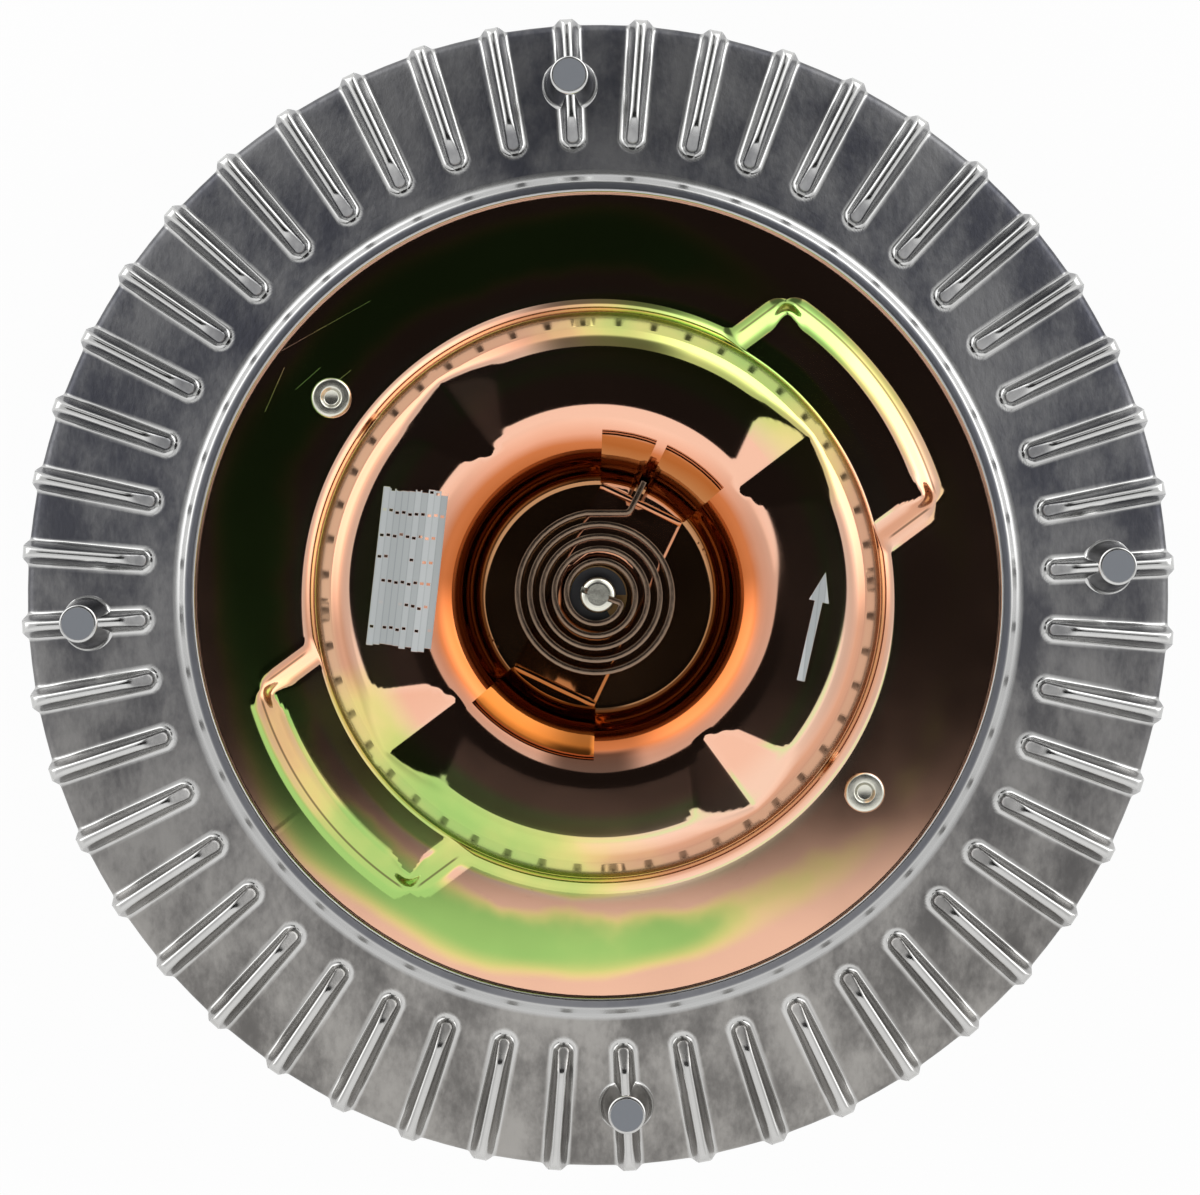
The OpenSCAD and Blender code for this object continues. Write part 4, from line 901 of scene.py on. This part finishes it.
STRAP_HALF_W, STRAP_T, STRAP_ANGLE = 8.0, 1.2, math.radians(STRAP_TURN)
STRAP_HOLE_R, TAB_R, TAB_HALF = 6.5, 29.0, math.radians(24)
BEND_U = STRAP_HALF_W / math.tan(TAB_HALF)
lanes = np.array([-8, -7.3, -6.5, -5, -3.4, -1.8, -0.6, 0.35, 2.3, 3.4, 4.8, 6.5, 7.3, 8.0])
SLOT = 7
strap_rows = np.concatenate([np.linspace(0, 0.955, 6), np.linspace(0.965, 1.035, 9)])
tab_rows = np.linspace(0.06, 1, 22)
rows = len(strap_rows) + len(tab_rows)
halves = []
for k in range(2):
    bpy.ops.object.select_all(action="DESELECT")
    bpy.ops.mesh.primitive_plane_add(size=MM)
    half = bpy.context.object
    half.name = half.data.name = "coil_strap"
    bpy.ops.object.mode_set(mode="EDIT")
    bpy.ops.mesh.select_all(action="SELECT")
    bpy.ops.mesh.merge(type="CENTER")
    for lane in lanes[1:]:
        bpy.ops.mesh.extrude_region_move(TRANSFORM_OT_translate={"value": (0, MM, 0)})
    bpy.ops.mesh.select_all(action="SELECT")
    for _ in range(rows - 1):
        bpy.ops.mesh.extrude_region_move(TRANSFORM_OT_translate={"value": (MM, 0, 0)})
    bpy.ops.object.mode_set(mode="OBJECT")
    spot = points_of(half)
    line, lane = np.rint(spot[:, 0]).astype(int), np.rint(spot[:, 1]).astype(int)
    w = lanes[lane]
    part = strap_rows[np.minimum(line, len(strap_rows) - 1)]
    start_u = np.sqrt(np.maximum(STRAP_HOLE_R**2 - w * w, 0))
    strap_u = start_u + (BEND_U - start_u) * part
    part = tab_rows[np.maximum(line - len(strap_rows), 0)]
    r = BEND_U / math.cos(TAB_HALF) + (TAB_R - BEND_U / math.cos(TAB_HALF)) * part
    edge = r * math.sin(TAB_HALF)
    slot_low, slot_high = lanes[SLOT], lanes[SLOT + 1]
    tab_w = np.where(
        w <= slot_low,
        slot_low - (slot_low - w) * (slot_low + edge) / (slot_low + STRAP_HALF_W),
        slot_high + (w - slot_high) * (edge - slot_high) / (STRAP_HALF_W - slot_high),
    )
    round_u = np.sqrt(np.maximum(r * r - tab_w * tab_w, 0))
    flat_u = strap_rows[-1] * BEND_U
    tab_u = flat_u + (round_u - flat_u) * np.clip(part / 0.25, 0, 1)
    on_tab = line >= len(strap_rows)
    u, w = np.where(on_tab, tab_u, strap_u), np.where(on_tab, tab_w, w)
    bead = np.exp(-(((u - BEND_U) / 0.24) ** 2)) * (0.15 + 0.03 * np.sin(w * 0.8 + k))
    z = np.interp(np.hypot(u, w), exact[:, 0], exact[:, 1]) + 0.03 + bead
    turn = STRAP_ANGLE + k * math.pi
    c, s = math.cos(turn), math.sin(turn)
    move_points(half, np.stack([u * c - w * s, u * s + w * c, z], axis=1))
    if k == 0:
        bpy.ops.object.mode_set(mode="EDIT")
        bpy.ops.mesh.select_mode(type="FACE")
        bpy.ops.mesh.select_all(action="DESELECT")
        bpy.ops.object.mode_set(mode="OBJECT")
        for face in half.data.polygons:
            at = [(line[i], lane[i]) for i in face.vertices]
            face.select = all(a >= len(strap_rows) - 4 and b in (SLOT, SLOT + 1) for a, b in at)
        bpy.ops.object.mode_set(mode="EDIT")
        bpy.ops.mesh.delete(type="FACE")
        bpy.ops.mesh.select_mode(type="VERT")
        bpy.ops.object.mode_set(mode="OBJECT")
    halves.append(half)
strap = joined(halves[0], halves[1:])
weld(strap)
if sum(face.normal.z for face in strap.data.polygons) < 0:
    bpy.ops.object.mode_set(mode="EDIT")
    bpy.ops.mesh.select_all(action="SELECT")
    bpy.ops.mesh.flip_normals()
    bpy.ops.object.mode_set(mode="OBJECT")
plate = strap.modifiers.new("sheet", "SOLIDIFY")
plate.thickness = STRAP_T * MM
plate.offset = 1
bpy.ops.object.modifier_apply(modifier=plate.name)
rims = strap.modifiers.new("edges", "BEVEL")
rims.width = 0.2 * MM
rims.segments = 2
rims.limit_method = "ANGLE"
rims.angle_limit = math.radians(50)
bpy.ops.object.modifier_apply(modifier=rims.name)
shade(strap, 50)
strap.data.materials.clear()
strap.data.materials.append(chromated_steel)
mark(strap, "strap", 1.0)
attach(strap, "housing")
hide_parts("coil_bracket")


# Bimetal coil
# One strip of bimetal wound in a flat spiral.
# Its tail is held in the bracket and its inner end turns the shaft.

COIL_Z, COIL_W, COIL_T = 81.62, 6.5, 1.0
COIL_OUTER_R, COIL_INNER_R, COIL_END = 14.8, 4.6, math.radians(98)
COIL_SWEEP = math.radians(1683)
COIL_BEND, TAIL_RUN, TAIL_ANGLE, TAIL_END_R = 1.1, 7.6, math.radians(64), 21.8
SLOT_ANGLE, INNER_END_R = math.radians(-19), 2.47
TURNS = 240


def spiral(t):
    r = COIL_OUTER_R + (COIL_INNER_R - COIL_OUTER_R) * t
    return r * math.cos(COIL_END + COIL_SWEEP * t), r * math.sin(COIL_END + COIL_SWEEP * t)


tail_corner = (spiral(0)[0] + TAIL_RUN, spiral(0)[1])
tail_l = TAIL_END_R - math.hypot(*tail_corner)
tail_end = (tail_corner[0] + tail_l * math.cos(TAIL_ANGLE), tail_corner[1] + tail_l * math.sin(TAIL_ANGLE))
inner_end = (-INNER_END_R * math.cos(SLOT_ANGLE), -INNER_END_R * math.sin(SLOT_ANGLE))
coil_line = [(*tail_end, 0), (*tail_corner, COIL_BEND)]
coil_line += [(*spiral(i / TURNS), 0) for i in range(TURNS - 2)]
coil_line += [(*spiral(1), COIL_BEND * 0.6), (*inner_end, 0)]
coil_path = bent(coil_line, 15.0)
bpy.ops.object.select_all(action="DESELECT")
bpy.ops.mesh.primitive_plane_add(size=MM)
coil = bpy.context.object
coil.name = coil.data.name = "bimetal_strip"
bpy.ops.object.mode_set(mode="EDIT")
bpy.ops.mesh.select_all(action="SELECT")
bpy.ops.mesh.merge(type="CENTER")
at = np.zeros(2)
for i, point in enumerate(coil_path):
    move = (point - at) * MM
    shift = {"value": (move[0], move[1], 0 if i else COIL_Z * MM)}
    if i:
        bpy.ops.mesh.extrude_region_move(TRANSFORM_OT_translate=shift)
    else:
        bpy.ops.transform.translate(**shift)
    at = point
bpy.ops.mesh.select_all(action="SELECT")
bpy.ops.mesh.extrude_region_move(TRANSFORM_OT_translate={"value": (0, 0, COIL_W * MM)})
bpy.ops.object.mode_set(mode="OBJECT")
thick = coil.modifiers.new("strip", "SOLIDIFY")
thick.thickness = COIL_T * MM
thick.offset = 0
thick.use_even_offset = True
bpy.ops.object.modifier_apply(modifier=thick.name)
edge = coil.modifiers.new("edges", "BEVEL")
edge.width = 0.17 * MM
edge.segments = 2
edge.limit_method = "ANGLE"
edge.angle_limit = math.radians(50)
bpy.ops.object.modifier_apply(modifier=edge.name)
bpy.ops.object.mode_set(mode="EDIT")
bpy.ops.mesh.select_all(action="SELECT")
bpy.ops.mesh.normals_make_consistent(inside=False)
bpy.ops.object.mode_set(mode="OBJECT")
shade(coil, 40)


def rolled_bimetal(start):
    place = here(start)
    streak = place.node("Mapping", {}, {"Vector": place, "Scale": (1.0, 1.0, 8.0)})
    grain = mottle(streak, 500.0, 4.0)
    return {
        "Base Color": mixed(grain, (0.20, 0.14, 0.10), (0.30, 0.21, 0.15)),
        "Metallic": 1.0,
        "Roughness": 0.16 + grain * 0.14,
        "Normal": raised(grain, 0.00003, 0.5),
    }


coil.data.materials.clear()
coil.data.materials.append(finish("bimetal", rolled_bimetal))
spot = points_of(coil)
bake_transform(coil)
line = np.array(coil_path)
nearest = np.array([np.argmin(np.hypot(line[:, 0] - x, line[:, 1] - y)) for x, y, z in spot])
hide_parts("bimetal_coil")


# Floor, light and camera
# A white floor and a white tent with a dark opening overhead, as round a product on a copy stand.
# The camera looks straight down from about 0.8 m.

bpy.ops.mesh.primitive_plane_add(size=8)
floor = bpy.context.object
floor.name = "floor"
paper = bpy.data.materials.new("paper")
paper.use_nodes = True
paper.node_tree.nodes.clear()
start = Tone(paper.node_tree)
light = start.node("LightPath")
rays = light.socket.node.outputs
seen = Tone(paper.node_tree, rays["Is Camera Ray"])
for kind in ["Is Glossy Ray", "Is Transmission Ray"]:
    seen = seen.math("MAXIMUM", Tone(paper.node_tree, rays[kind]))
grain = mottle(here(start), 40.0)
matt = start.node("BsdfDiffuse", {}, {"Color": mixed(grain, (0.80, 0.80, 0.80), (0.84, 0.84, 0.84))})
glow = start.node("Emission", {}, {"Color": (1, 1, 1), "Strength": 1.0})
both = start.node("MixShader", {}, {0: seen * 0.95, 1: matt, 2: glow})
start.node("OutputMaterial", {}, {"Surface": both})
floor.data.materials.append(paper)
floor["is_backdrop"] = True

world = bpy.data.worlds.new("tent")
bpy.context.scene.world = world
world.use_nodes = True
world.node_tree.nodes.clear()
start = Tone(world.node_tree)
x, y, z = axes(start.node("TexCoord", output="Generated"))
up = z.math("MAXIMUM", 0.02)
level_way = (x * x + y * y).math("SQRT").math("MAXIMUM", 0.001)
tilt_x, tilt_y = x / up, y / up
tilt = level_way / up


def towards(bearing, first, last):
    """1 within a soft sector round this bearing."""
    turn = math.radians(bearing)
    return eased((x * math.cos(turn) + y * math.sin(turn)) / level_way, first, last)


panels = 1.05 + 2.0 * towards(38, 0.70, 0.95) + 1.5 * towards(145, 0.72, 0.95)
near = 0.75 + 0.35 * towards(270, 0.3, 0.9)
wall = near + (panels - near) * eased(tilt, 0.70, 2.4)
OPENING_HALF_W, OPENING_HALF_H, OPENING_Y = 0.487, 0.267, 0.201
bow = (tilt_x * tilt_x * 2.1).math("MINIMUM", 0.012)
box_x, box_y = tilt_x / OPENING_HALF_W, (tilt_y - OPENING_Y - bow) / OPENING_HALF_H
from_middle = (box_x.math("POWER", 4.0) + box_y.math("POWER", 4.0)).math("POWER", 0.25)
opening = eased(from_middle, 0.975, 1.03)
panel = (1 - eased(tilt_y, -0.074, -0.046)) * (1 - eased(tilt, 0.40, 0.56))
bright = wall + (1.05 - wall) * panel
bright = bright * (1 - 0.8 * towards(88, 0.94, 0.99) * (1 - eased(tilt, 1.4, 2.2)))
level = 0.009 + 0.991 * bright * opening
sky = start.node("Background", {}, {"Color": (1, 1, 1), "Strength": level})
start.node("OutputWorld", {}, {"Surface": sky})

camera_data = bpy.data.cameras.new("camera")
camera = bpy.data.objects.new("camera", camera_data)
bpy.context.scene.collection.objects.link(camera)
camera.location = (0.00036, -0.00045, 0.877)
camera_data.lens = 133.3
camera_data.sensor_width = 36
camera_data.clip_start, camera_data.clip_end = 0.01, 20
bpy.context.scene.camera = camera
bpy.context.scene.view_settings.view_transform = "Standard"

low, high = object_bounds()
